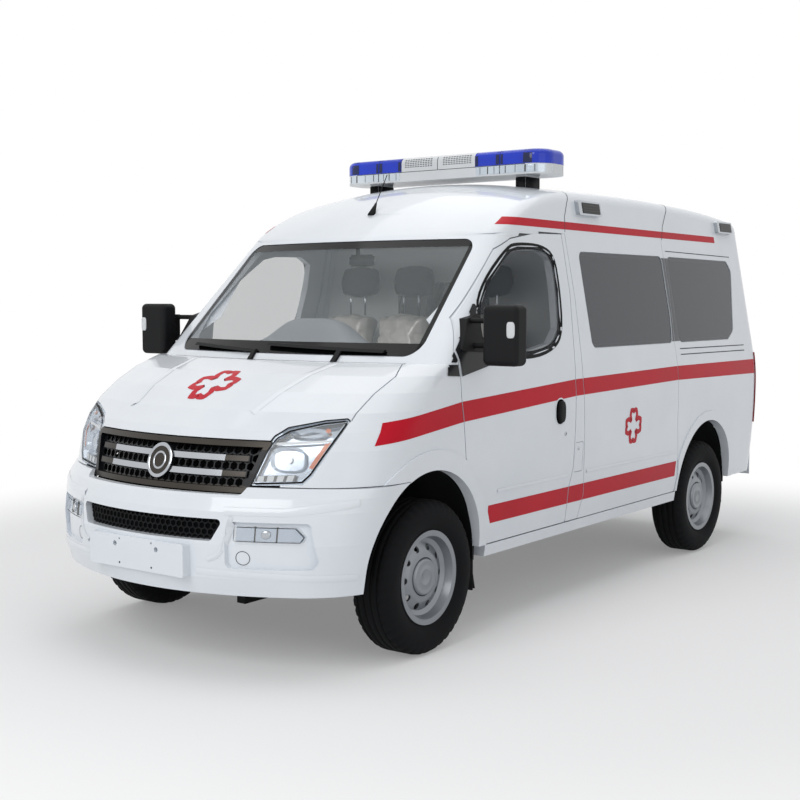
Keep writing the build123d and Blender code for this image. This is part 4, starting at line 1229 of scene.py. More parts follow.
@dataclass
class FrontTrim:
    """Bright bars, smoked frame and plain badge of the grille, and the mesh of the lower intake."""

    shop: Workshop
    bar_heights: tuple[float, float] = (0.961, 0.894)
    bar_half: float = 0.013
    badge_z: float = 0.93
    badge_r: float = 0.07
    badge_inner_r: float = 0.036
    # half widths at the foot and top of the lower intake
    intake: tuple[Point, Point] = ((0.398, 0.618), (0.446, 0.702))
    mesh_pitch: float = 0.03
    wire: float = 0.0035

    def build(self) -> None:
        """Lays the bright faces on the grille and the mesh in the intake."""
        for number, z in enumerate(self.bar_heights):
            for side, sign in (("left", 1.0), ("right", -1.0)):
                ends = ((0.06, 0.36, CHROME, "inner"), (0.36, 0.475, SMOKED, "outer"))
                for y0, y1, finish, part in ends:
                    rim = self.bar_half - (0.0 if part == "inner" else 0.002)
                    outline = rectangle(y0 * sign, z - rim, y1 * sign, z + rim)
                    name = f"grille_bar_{side}_{number}_{part}"
                    self.shop.patch(name, "grille", outline, Facing.FRONT, finish)
        frame = {
            "top": rectangle(-0.57, 1.0, 0.57, 1.037),
            "foot": rectangle(-0.53, 0.813, 0.53, 0.842),
        }
        for side, outline in frame.items():
            self.shop.patch(f"grille_frame_{side}", "grille", outline, Facing.FRONT, SMOKED)
        grille = Layer(self.shop, "grille", Facing.FRONT)
        ring = oval((0.0, self.badge_z), (self.badge_r, self.badge_r), 64)
        grille.film("badge_disc", ring, SMOKED, lift=0.001, grid=0.012)
        grille.ribbon("badge_ring", ring, 0.015, CHROME, height=0.005, closed=True, step=0.008)
        inner = oval((0.0, self.badge_z), (self.badge_inner_r, self.badge_inner_r), 40)
        grille.ribbon("badge_inner_ring", inner, 0.009, CHROME, height=0.003, closed=True, step=0.006)
        self._intake_mesh()

    def _intake_mesh(self) -> None:
        """Lays a mesh of six-sided cells before a black sheet of painted shade."""
        layer = Layer(self.shop, "lower_grille", Facing.FRONT)
        (foot_half, foot_z), (top_half, top_z) = self.intake
        opening = ((-top_half, top_z), (top_half, top_z), (foot_half, foot_z), (-foot_half, foot_z))
        # the black sheet behind the mesh is painted shade in the intake
        layer.film("intake_backing", opening, SHADE_BLACK)
        pitch = self.mesh_pitch
        outer = pitch / math.sqrt(3)
        inner = outer - self.wire
        row_share = 0.866  # height between rows of six-sided cells, in pitches
        spots: list[Vector | None] = []
        faces: list[tuple[int, ...]] = []
        rows = int((top_z - foot_z) / (pitch * row_share)) + 2
        for row in range(rows):
            z = foot_z + row * pitch * row_share
            half = foot_half + (top_half - foot_half) * (z - foot_z) / (top_z - foot_z)
            for column in range(-18, 19):
                y = (column + 0.5 * (row % 2)) * pitch
                if abs(y) > half + 0.008:
                    continue
                base = len(spots)
                for radius, lift in ((outer, 0.004), (inner, 0.005), (inner, 0.001)):
                    for k in range(6):
                        turn = math.radians(30 + 60 * k)
                        spot = (y + radius * math.cos(turn), z + radius * math.sin(turn))
                        spots.append(layer.touch(spot, lift))
                for k in range(6):
                    m = (k + 1) % 6
                    faces.append((base + k, base + m, base + 6 + m, base + 6 + k))
                    faces.append((base + 6 + k, base + 6 + m, base + 12 + m, base + 12 + k))
        layer.lay("intake_mesh", spots, faces, POLYPROP)


@dataclass
class Lamps:
    """Insides of the headlamps and fog lamps."""

    shop: Workshop
    # all in the lamp's own flat view: distance across and height
    rim: tuple[Point, ...] = (
        (-0.042, 0.85), (0.19, 0.858), (0.232, 0.895), (0.31, 1.007), (0.4, 1.134), (0.29, 1.124),
        (0.126, 1.092), (0.066, 1.056), (0.03, 1.009),
    )
    divider: tuple[Point, ...] = ((0.05, 1.026), (0.315, 1.044), (0.318, 1.054), (0.07, 1.038))
    amber: tuple[Point, ...] = ((0.287, 1.036), (0.315, 1.043), (0.24, 0.926), (0.216, 0.931))
    strip: tuple[Point, ...] = ((-0.02, 0.892), (0.163, 0.9), (0.148, 0.866), (-0.024, 0.857))
    bowl: tuple[Point, Point] = ((0.125, 0.966), (0.082, 0.056))
    upper: tuple[Point, Point] = ((0.215, 1.082), (0.085, 0.022))
    upper_bulb: Point = (0.3, 1.095)
    # on the bumper: corners of the fog lamp's reflector, its two dividers and its bulb
    fog: tuple[Point, ...] = ((0.505, 0.677), (0.745, 0.677), (0.78, 0.64), (0.768, 0.617), (0.505, 0.617))
    fog_dividers: tuple[float, float] = (0.583, 0.672)
    fog_bulb: Point = (0.628, 0.646)
    day_cells: int = 4

    def build(self) -> None:
        """Fits out both headlamps and both fog lamps."""
        for label, _, lamp, sign in SIDES:
            case = Layer(self.shop, "headlamp_housings", lamp)
            lens = Layer(self.shop, "headlamp_lenses", lamp)
            lens.ribbon(f"headlamp_edge_{label}", grown(self.rim, -0.011), 0.007, EPDM, closed=True)
            case.film(f"headlamp_floor_{label}", grown(self.rim, -0.03), SILVER, lift=0.002)
            lens.film(f"headlamp_surround_{label}", grown(self.rim, -0.02), REFLECTOR, lift=-0.03)
            lens.film(f"headlamp_divider_{label}", self.divider, PALE_ABS, lift=-0.012)
            lens.film(f"headlamp_amber_{label}", self.amber, AMBER, lift=-0.01)
            self._dish(f"headlamp_bowl_{label}", lens, self.bowl, 0.05, -0.014)
            self._dish(f"headlamp_upper_bowl_{label}", lens, self.upper, 0.03, -0.014)
            shield = oval(self.bowl[0], (0.016, 0.016), 24)
            lens.film(f"headlamp_bulb_shield_{label}", shield, CHROME, lift=-0.02)
            bulb = oval(self.upper_bulb, (0.012, 0.009), 20)
            lens.film(f"headlamp_upper_bulb_{label}", bulb, AMBER, lift=-0.013)
            self._cells(f"headlamp_day_cell_{label}", lens)
            self._fog(label, sign)

    def _dish(
        self, name: str, layer: Layer, form: tuple[Point, Point], depth: float, rim_lift: float
    ) -> None:
        """Makes one concave reflector that opens towards the lens.

        Args:
            name: Its name.
            layer: The lens that it stands behind.
            form: Its centre and half sizes.
            depth: How deep it is.
            rim_lift: Where its rim stands, negative for behind the lens's face.
        """
        centre, half = form
        count, rings = 40, 8
        rim = oval(centre, half, count, 3.0)
        spots = []
        for ring in range(1, rings + 1):
            share = ring / rings
            sunk = rim_lift - depth * (1 - share**2)
            for u, v in rim:
                spot = (centre[0] + (u - centre[0]) * share, centre[1] + (v - centre[1]) * share)
                spots.append(layer.touch(spot, sunk))
        spots.append(layer.touch(centre, rim_lift - depth))
        faces = []
        for n in range(count):
            m = (n + 1) % count
            faces.append((len(spots) - 1, n, m))
            for ring in range(rings - 1):
                base = ring * count
                faces.append((base + n, base + m, base + count + m, base + count + n))
        layer.lay(name, spots, faces, REFLECTOR)

    def _cells(self, name: str, lens: Layer) -> None:
        """Makes the row of day-running cells.

        Args:
            name: The name that the cells' names start with.
            lens: The lens that they stand behind.
        """
        a, b, c, d = (Vector(p) for p in self.strip)
        lens.film(f"{name}_tray", self.strip, SMOKED, lift=-0.012)
        for n in range(self.day_cells):
            t0, t1 = (n + 0.12) / self.day_cells, (n + 0.88) / self.day_cells
            quad = tuple(tuple(q) for q in (a.lerp(b, t0), a.lerp(b, t1), d.lerp(c, t1), d.lerp(c, t0)))
            lens.film(f"{name}_{n}", grown(quad, -0.003), PALE_ABS, lift=-0.0105)

    def _fog(self, label: str, sign: float) -> None:
        """Fits out one fog lamp: a three-part reflector behind its lens.

        Args:
            label: The side's name.
            sign: 1 on the left, -1 on the right.
        """
        front = Layer(self.shop, "front_bumper", Facing.FRONT)
        outline = tuple((y * sign, z) for y, z in self.fog)
        front.film(f"fog_reflector_{label}", outline, REFLECTOR, lift=0.002)
        for number, y in enumerate(self.fog_dividers):
            line = ((y * sign, 0.68), (y * sign, 0.614))
            front.ribbon(f"fog_divider_{label}_{number}", line, 0.008, SMOKED, height=0.006)
        y, z = self.fog_bulb
        front.boss(f"fog_bulb_{label}", oval((y * sign, z), (0.02, 0.02), 24), CHROME, 0.012, 0.006)
        lens = Layer(self.shop, "fog_lamps", Facing.FRONT)
        lens.ribbon(f"fog_edge_{label}", grown(outline, 0.002), 0.003, GAP_SHADOW, closed=True)


@dataclass
class LightBar:
    """Louvred speakers, ribbed lower lenses, darker blue films of painted shade on the domes, and dark feet
    of the roof bar.
    """

    shop: Workshop
    split_z: float = 2.42
    top_z: float = 2.505
    tray_z: float = 2.366
    half: float = 0.72
    mid_half: float = 0.262
    # stretches across the van that take darker blue films of painted shade, and the places and widths of the
    # ribs below
    shades: tuple[Point, ...] = ((0.266, 0.286), (0.405, 0.428), (0.436, 0.452), (0.585, 0.64))
    fins: tuple[Point, ...] = (
        (0.3, 0.004), (0.352, 0.007), (0.395, 0.004), (0.47, 0.006), (0.535, 0.004), (0.6, 0.009),
        (0.655, 0.004),
    )
    # foot and top of the shades, and the place across the van of the joint between two modules
    shade_z: tuple[float, float] = (2.424, 2.495)
    joint_y: float = 0.432
    # louvres of each speaker: rows and columns, the first one's place, the spacing and the half sizes
    louvre_count: tuple[int, int] = (5, 11)
    louvre_start: Point = (0.045, 2.446)
    louvre_pitch: Point = (0.0185, 0.0105)
    louvre_half: Point = (0.006, 0.0022)
    # stations, half width about the middle, and heights of the two feet
    foot_x: tuple[float, float] = (-1.646, -1.484)
    foot_y: tuple[float, float] = (0.525, 0.036)
    foot_z: tuple[float, float] = (2.25, 2.362)

    def build(self) -> None:
        """Dresses both faces of the bar."""
        for facing in (Facing.FRONT, Facing.REAR):
            base = Layer(self.shop, "lightbar_base", facing)
            tag = facing.name.lower()
            for label, sign in (("left", 1.0), ("right", -1.0)):
                self._lower_half(base, f"{tag}_{label}", sign)
            dome = Layer(self.shop, "lightbar_domes", facing)
            for label, sign in (("left", 1.0), ("right", -1.0)):
                # painted shade: darker blue films on stretches of the domes
                for number, (y0, y1) in enumerate(self.shades):
                    shade = rectangle(y0 * sign, self.shade_z[0], y1 * sign, self.shade_z[1])
                    dome.film(f"bar_shade_{tag}_{label}_{number}", shade, SHADED_BLUE)
                for number, (y, wide) in enumerate(self.fins):
                    line = ((y * sign, self.tray_z + 0.008), (y * sign, self.split_z - 0.006))
                    base.ribbon(f"bar_fin_{tag}_{label}_{number}", line, wide, SMOKED, height=0.002)
            line = ((0.0, self.split_z), (0.0, self.top_z - 0.012))
            base.ribbon(f"bar_centre_gap_{tag}", line, 0.004, GAP_SHADOW)
            line = ((-0.6, self.split_z - 0.002), (0.6, self.split_z - 0.002))
            base.ribbon(f"bar_split_line_{tag}", line, 0.003, GAP_SHADOW)
        (x0, x1), (middle, half), (z0, z1) = self.foot_x, self.foot_y, self.foot_z
        for label, sign in (("left", 1.0), ("right", -1.0)):
            low = (st(x0), middle * sign - half, z0)
            high = (st(x1), middle * sign + half, z1)
            self.shop.block(f"bar_foot_{label}", low, high, POLYPROP, "chassis", 0.008)

    def _lower_half(self, base: Layer, tag: str, sign: float) -> None:
        """Lays a module's clear lens, its joint and the speaker's louvres.

        Args:
            base: The bar's tray.
            tag: The end of the pieces' names.
            sign: 1 on the left, -1 on the right.
        """
        inner, outer = (self.mid_half + 0.01) * sign, (self.half - 0.002) * sign
        lens = rectangle(inner, self.tray_z + 0.004, outer, self.split_z - 0.004)
        base.film(f"bar_clear_lens_{tag}", lens, RIBBED)
        joint = self.joint_y * sign
        line = ((joint, self.tray_z + 0.004), (joint, self.split_z - 0.003))
        base.ribbon(f"bar_module_gap_{tag}", line, 0.006, GAP_SHADOW)
        rows, columns = self.louvre_count
        wide, tall = self.louvre_half
        for row in range(rows):
            for column in range(columns):
                y = (self.louvre_start[0] + column * self.louvre_pitch[0]) * sign
                z = self.louvre_start[1] + row * self.louvre_pitch[1]
                slot = rectangle(y - wide, z - tall, y + wide, z + tall)
                base.film(f"bar_louvre_{tag}_{row}_{column}", slot, GAP_SHADOW)


@dataclass
class Mirrors:
    """Silvered glass and turn lens of both door mirrors."""

    shop: Workshop
    # how far the glass's middle lies in from the head's outer edge, its half width, and its rim
    glass_inset: float = 0.09
    glass_half: float = 0.068
    glass_rim: float = 0.03
    # how far in the lens's middle lies, its height above the ground and its half sizes
    lens_inset: float = 0.032
    lens_z: float = 1.52
    lens_half: Point = (0.02, 0.038)

    def build(self) -> None:
        """Lays the glass on the back of each head and the lens on its outer front corner."""
        for label, _, _, sign in SIDES:
            node = f"mirror_{label}"
            low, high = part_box(node)
            outer, top, foot = max(abs(low[1]), abs(high[1])), high[2], low[2]
            middle = ((outer - self.glass_inset) * sign, (top + foot) / 2)
            back = Layer(self.shop, node, Facing.REAR)
            glass = oval(middle, (self.glass_half, (top - foot) / 2 - self.glass_rim), 36, 4.0)
            back.film(f"mirror_glass_{label}", glass, MIRROR, lift=0.001)
            front = Layer(self.shop, node, Facing.FRONT)
            lens = oval(((outer - self.lens_inset) * sign, self.lens_z), self.lens_half, 24, 4.0)
            front.boss(f"mirror_turn_lens_{label}", lens, PALE_ABS, 0.004, 0.002)


@dataclass
class Emblems:
    """A generic plus with notched arms, drawn in outline, on the bonnet and on each side."""

    shop: Workshop
    stroke: float = 0.27
    # one arm's outline from its root to its tip, in radii: across and along
    arm: tuple[Point, ...] = ((0.3, 0.3), (0.42, 0.62), (0.34, 0.92), (0.12, 0.92), (0.0, 0.84))

    # name, node, station and second measure of the centre, radius and side of each mark
    marks: tuple[tuple[str, str, Point, float, Facing], ...] = (
        ("bonnet_mark", "bonnet", (0.445, 0.0), 0.125, Facing.TOP),
        ("left_mark", "mid_panel_left", (-2.0, 0.923), 0.1, Facing.LEFT),
        ("right_mark", "sliding_door_right", (-2.0, 0.923), 0.1, Facing.RIGHT),
    )

    def _mark(self, name: str, node: str, centre: Point, radius: float, facing: Facing) -> None:
        """Lays one mark.

        Args:
            name: The mark's name.
            node: The node that it lies on.
            centre: Its centre on the facing's axes.
            radius: Its radius in metres.
            facing: The side that it faces.
        """
        layer = Layer(self.shop, node, facing)
        points: list[Point] = []
        for quarter in range(4):
            turn = math.radians(90 * quarter)
            half_arm = [(-u, v) for u, v in self.arm]
            for u, v in half_arm + list(reversed(self.arm[:-1])):
                x = u * math.cos(turn) + v * math.sin(turn)
                y = -u * math.sin(turn) + v * math.cos(turn)
                points.append((centre[0] + radius * x, centre[1] + radius * y))
        layer.ribbon(f"{name}_outline", tuple(points), radius * self.stroke, VINYL, closed=True, step=0.008)

    def build(self) -> None:
        """Lays the three marks."""
        for name, node, (station, other), radius, facing in self.marks:
            self._mark(name, node, (st(station), other), radius, facing)


@dataclass
class Tyres:
    """Tyres with four grooves and cut shoulders, standing for the plain rings."""

    shop: Workshop
    segments: int = 168
    grooves: tuple[float, ...] = (-0.056, -0.019, 0.019, 0.056)
    groove_half: float = 0.0045
    depth: float = 0.008
    tread_radius: float = 0.3635
    # the shoulder is cut outside this radius, at one segment in so many
    cut_radius: float = 0.335
    cut_every: int = 4
    # distance from the wheel's middle plane and radius, one half from tread to bead
    shoulder: tuple[Point, ...] = (
        (0.07, 0.3625), (0.088, 0.352), (0.102, 0.33), (0.107, 0.29), (0.104, 0.25), (0.084, 0.2235),
        (0.084, 0.2035),
    )

    def _section(self) -> list[tuple[float, float, bool]]:
        """Lists the section's points.

        Returns:
            Distance across, radius, and whether the shoulder is cut there.
        """
        tread: list[tuple[float, float, bool]] = []
        for groove in self.grooves:
            for step, sunk in ((-1.0, False), (-0.6, True), (0.6, True), (1.0, False)):
                radius = self.tread_radius - (self.depth if sunk else 0.0)
                tread.append((groove + step * self.groove_half, radius, False))
        right = [(y, r, r > self.cut_radius) for y, r in self.shoulder]
        left = [(-y, r, cut) for y, r, cut in reversed(right)]
        return left + tread + right

    def build(self) -> None:
        """Builds the four tyres."""
        for end in ("front", "rear"):
            for side, _, _, _ in SIDES:
                node = f"{end}_tyre_{side}"
                low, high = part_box(node)
                mesh = self._tread(f"{node}_tread", (Vector(low) + Vector(high)) / 2)
                piece = self.shop.add(f"{node}_tread", mesh, TYRE, self.shop.body_of(node))
                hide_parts(node)

    def _tread(self, name: str, middle: Vector) -> bpy.types.Mesh:
        """Turns the section about the wheel's axle, with the shoulders cut.

        Args:
            name: The mesh's name.
            middle: The wheel's middle.

        Returns:
            The tyre.
        """
        section = self._section()
        count = len(section)
        points, faces = [], []
        for n in range(self.segments):
            angle = 2 * math.pi * n / self.segments
            cut = self.depth if n % self.cut_every == 0 else 0.0
            here, there = n * count, ((n + 1) % self.segments) * count
            for k, (y, r, notch) in enumerate(section):
                radius = r - (cut if notch else 0.0)
                across, up = radius * math.cos(angle), radius * math.sin(angle)
                points.append((middle.x + across, middle.y + y, middle.z + up))
                nxt = (k + 1) % count
                faces.append((here + k, here + nxt, there + nxt, there + k))
        mesh = bpy.data.meshes.new(name)
        mesh.from_pydata(points, [], faces)
        mesh.validate()
        return mesh


@dataclass
class WheelCaps:
    """Pressed centre cap of each wheel, with its rings."""

    shop: Workshop
    # distance outward from the wheel's middle plane, and radius
    profile: tuple[Point, ...] = (
        (0.06, 0.088), (0.07, 0.084), (0.073, 0.078), (0.071, 0.071), (0.069, 0.045), (0.0715, 0.041),
        (0.0715, 0.035), (0.069, 0.031), (0.069, 0.0),
    )

    def build(self) -> None:
        """Adds the four caps."""
        for end in ("front", "rear"):
            for label, _, _, sign in SIDES:
                node = f"{end}_rim_{label}"
                low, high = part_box(node)
                middle = (Vector(low) + Vector(high)) / 2
                body = self.shop.body_of(node)
                self.shop.turned(f"{end}_wheel_cap_{label}", self.profile, middle, sign, SILVER, body)


@dataclass
class Upholstery:
    """Cab seats in polythene delivery covers, headrests, and the stretcher's mattress, as swollen pads."""

    shop: Workshop
    # centre across the van and half width of each seat
    seats: tuple[tuple[str, float, float], ...] = (
        ("driver", 0.44, 0.22),
        ("middle", -0.1, 0.19),
        ("outer", -0.5, 0.19),
    )
    # part, centre by station and height, half depth and height, backward lean, fullness (0 for a box,
    # 1 for an egg) and cap on the swelling
    pads: tuple[tuple[str, Point, Point, float, float, float], ...] = (
        ("cushion", (-0.9, 0.9), (0.2, 0.055), 4.0, 0.3, 0.022),
        ("back", (-1.17, 1.3), (0.055, 0.3), 15.0, 0.3, 0.024),
        ("headrest", (-1.32, 1.765), (0.045, 0.095), 8.0, 0.65, 0.014),
    )
    head_half: float = 0.145
    # how far a seat's pads stay inside its width, and its base inside the pads
    pad_inset: float = 0.012
    base_inset: float = 0.05
    # height of the creases in the loose covers
    crinkle: float = 0.012
    # voxel of the remeshed pads, frames and pressure of the cloth
    voxel: float = 0.009
    frames: int = 20
    pressure: float = 4.0
    # centre, half sizes and cap of the mattress
    mattress: tuple[Spot, Spot, float] = ((-3.25, 0.04, 0.87), (0.43, 0.25, 0.04), 0.012)

    def _crowned(self, centre: Vector, half: Vector, lean: float, full: float) -> bmesh.types.BMesh:
        """Forms a closed pad with pulled-in sides.

        Args:
            centre: Its middle.
            half: Its half sizes.
            lean: How far it leans back, in degrees.
            full: 0 for a box, 1 for an egg.

        Returns:
            The form.
        """
        shape = bmesh.new()
        bmesh.ops.create_cube(shape, size=2.0)
        bmesh.ops.subdivide_edges(shape, edges=shape.edges[:], cuts=11, use_grid_fill=True)
        turn = math.radians(lean)
        for vertex in shape.verts:
            unit = vertex.co.copy()
            soft = unit.lerp(unit.normalized() * max(abs(c) for c in unit), full)
            flat = Vector((soft.x * half.x, soft.y * half.y, soft.z * half.z))
            across = flat.x * math.cos(turn) - flat.z * math.sin(turn)
            vertex.co = centre + Vector((across, flat.y, flat.x * math.sin(turn) + flat.z * math.cos(turn)))
        return shape

    def _swell(self, mesh: bpy.types.Mesh, cap: float) -> bpy.types.Mesh:
        """Blows a pad up as closed cloth and keeps the result.

        Args:
            mesh: The pad before it swells.
            cap: How far a point may move.

        Returns:
            The swollen mesh.
        """
        scene = bpy.context.scene
        holder = bpy.data.objects.new("swelling_pad", mesh)
        scene.collection.objects.link(holder)
        remesh = holder.modifiers.new("remesh", "REMESH")
        remesh.mode = "VOXEL"
        remesh.voxel_size = self.voxel
        fine = bpy.data.meshes.new_from_object(holder.evaluated_get(bpy.context.evaluated_depsgraph_get()))
        holder.modifiers.clear()
        holder.data = fine
        start = [v.co.copy() for v in fine.vertices]
        cloth = holder.modifiers.new("cloth", "CLOTH")
        cloth.settings.use_pressure = True
        cloth.settings.uniform_pressure_force = self.pressure
        cloth.settings.effector_weights.gravity = 0.0
        cloth.point_cache.frame_start = 1
        cloth.point_cache.frame_end = self.frames
        for frame in range(1, self.frames + 1):
            scene.frame_set(frame)
        done = bpy.data.meshes.new_from_object(holder.evaluated_get(bpy.context.evaluated_depsgraph_get()))
        bpy.data.objects.remove(holder)
        scene.frame_set(1)
        for vertex, origin in zip(done.vertices, start):
            move = vertex.co - origin
            if move.length > cap:
                vertex.co = origin + move * (cap / move.length)
        return done

    def _crinkle(self, mesh: bpy.types.Mesh) -> None:
        """Creases the loose cover of a pad, in long folds with finer ones between.

        Args:
            mesh: The pad.
        """
        moves = []
        for vertex in mesh.vertices:
            spot = Vector(vertex.co)
            along = Vector((spot.x * 9, spot.y * 11 + spot.z * 3, spot.z * 6))
            fold = 1 - abs(noise.noise(along)) * 2.2
            fine = 1 - abs(noise.noise(spot * 27)) * 2
            moves.append(vertex.normal * self.crinkle * (0.75 * max(fold, 0.0) + 0.25 * max(fine, 0.0)))
        for vertex, move in zip(mesh.vertices, moves):
            vertex.co += move

    def _pad(
        self, name: str, centre: Vector, half: Vector, lean: float, full: float, cap: float, finish: Finish
    ) -> bpy.types.Object:
        """Makes one pad: swollen, and crinkled where its cover is loose.

        Args:
            name: The pad's name.
            centre: Its middle.
            half: Its half sizes.
            lean: How far it leans back, in degrees.
            full: 0 for a box, 1 for an egg.
            cap: How far it may swell.
            finish: Its cover's finish.

        Returns:
            The pad.
        """
        shape = self._crowned(centre, half, lean, full)
        mesh = bpy.data.meshes.new(name)
        shape.to_mesh(mesh)
        shape.free()
        mesh = self._swell(mesh, cap)
        mesh.name = name
        if finish is POLYTHENE:
            self._crinkle(mesh)
        piece = self.shop.add(name, mesh, finish, "chassis")
        return piece

    def build(self) -> None:
        """Builds the seats and the stretcher's mattress."""
        for seat, y, half_y in self.seats:
            for part, (x, z), (deep, tall), lean, full, cap in self.pads:
                bare = part == "headrest"
                half = Vector((deep, self.head_half if bare else half_y - self.pad_inset, tall))
                cover = DARK_CLOTH if bare else POLYTHENE
                centre = Vector((st(x), y, z))
                self._pad(f"seat_{seat}_{part}", centre, half, lean, full, cap, cover)
            self._hardware(seat, y, half_y - self.base_inset)
        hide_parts("seats")
        (x, y, z), half, cap = self.mattress
        centre = Vector((st(x), y, z))
        mattress = self._pad("stretcher_mattress", centre, Vector(half), 0.0, 0.3, cap, DARK_CLOTH)
        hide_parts("stretcher")
        self.shop.block("stretcher_frame", (st(-3.6), -0.18, 0.6), (st(-2.9), 0.26, 0.825), STEEL, "chassis")

    def _hardware(self, seat: str, y: float, half: float) -> None:
        """Adds a seat's base and the two posts of its headrest.

        Args:
            seat: The seat's name.
            y: Its middle, across the van.
            half: Half the base's width.
        """
        low, high = (st(-1.12), y - half, 0.6), (st(-0.74), y + half, 0.83)
        self.shop.block(f"seat_{seat}_base", low, high, CAB_GREY, "chassis")
        for number, aside in enumerate((-0.055, 0.055)):
            low, high = (st(-1.296), y + aside - 0.006, 1.56), (st(-1.284), y + aside + 0.006, 1.74)
            self.shop.block(f"seat_{seat}_headrest_post_{number}", low, high, CHROME, "chassis", 0.005)


@dataclass
class Cabin:
    """Padded dash top with its central instrument binnacle, and the interior mirror."""

    shop: Workshop
    # stations of the dash top's front and rear edge, its half width and the height of its underside
    front: float = -0.05
    rear: float = -0.52
    half: float = 0.79
    foot: float = 1.27
    rows: int = 18
    columns: int = 48
    # height at the windscreen, crown, height of the binnacle, and drop at the cab's edge
    brow: float = 1.345
    crown: float = 0.085
    hood: float = 0.135
    drop: float = 0.04
    # name, finish, lowest and highest corner by station, and edge radius of each part of the mirror
    mirror: tuple[tuple[str, Finish, Spot, Spot, float], ...] = (
        ("case", POLYPROP, (-0.73, -0.1, 1.84), (-0.7, 0.07, 1.905), 0.012),
        ("glass", MIRROR, (-0.735, -0.092, 1.848), (-0.7295, 0.062, 1.898), 0.002),
        ("stem", POLYPROP, (-0.71, -0.04, 1.9), (-0.69, -0.02, 1.975), 0.004),
    )

    def _height(self, share: float, y: float) -> float:
        """Height of the dash top.

        Args:
            share: 0 at the windscreen, 1 at the cab's edge.
            y: Distance across the van.

        Returns:
            The height above the ground.
        """
        rise = self.brow + self.crown * math.sin(math.pi * min(share * 0.8, 1.0))
        across, along = (y + 0.08) / 0.27, (share - 0.8) / 0.28
        binnacle = self.hood * math.exp(-(across**4)) * math.exp(-(along**4))
        edge = max(0.0, (share - 0.85) / 0.15)
        return rise + binnacle - self.drop * edge**2

    def build(self) -> None:
        """Builds the dash top and the mirror."""
        self._dash_top()
        for name, finish, (x0, y0, z0), (x1, y1, z1), edge in self.mirror:
            low, high = (st(x0), y0, z0), (st(x1), y1, z1)
            self.shop.block(f"cab_mirror_{name}", low, high, finish, "chassis", edge)

    def _dash_top(self) -> None:
        """Builds the closed pad of the dash top."""
        rows, columns = self.rows, self.columns
        top, under = [], []
        for row in range(rows + 1):
            share = row / rows
            x = st(self.front + (self.rear - self.front) * share)
            for column in range(columns + 1):
                y = -self.half + 2 * self.half * column / columns
                rim = min(1.0, (self.half - abs(y)) / 0.05)
                top.append((x, y, self.foot + (self._height(share, y) - self.foot) * (0.6 + 0.4 * rim)))
                under.append((x, y, self.foot))
        width = columns + 1
        faces = []
        for row in range(rows):
            for column in range(columns):
                a = row * width + column
                faces.append((a, a + 1, a + width + 1, a + width))
        base = len(top)
        faces += [tuple(base + i for i in reversed(face)) for face in faces]
        border = list(range(width)) + [r * width + columns for r in range(1, rows + 1)]
        border += [rows * width + c for c in range(columns - 1, -1, -1)]
        border += [r * width for r in range(rows - 1, 0, -1)]
        faces += [(a, b, base + b, base + a) for a, b in zip(border, border[1:] + border[:1])]
        mesh = bpy.data.meshes.new("dash_top_pad")
        mesh.from_pydata(top + under, [], faces)
        shape = bmesh.new()
        shape.from_mesh(mesh)
        bmesh.ops.recalc_face_normals(shape, faces=shape.faces[:])
        shape.to_mesh(mesh)
        shape.free()
        self.shop.add("dash_top_pad", mesh, CAB_GREY, "chassis")


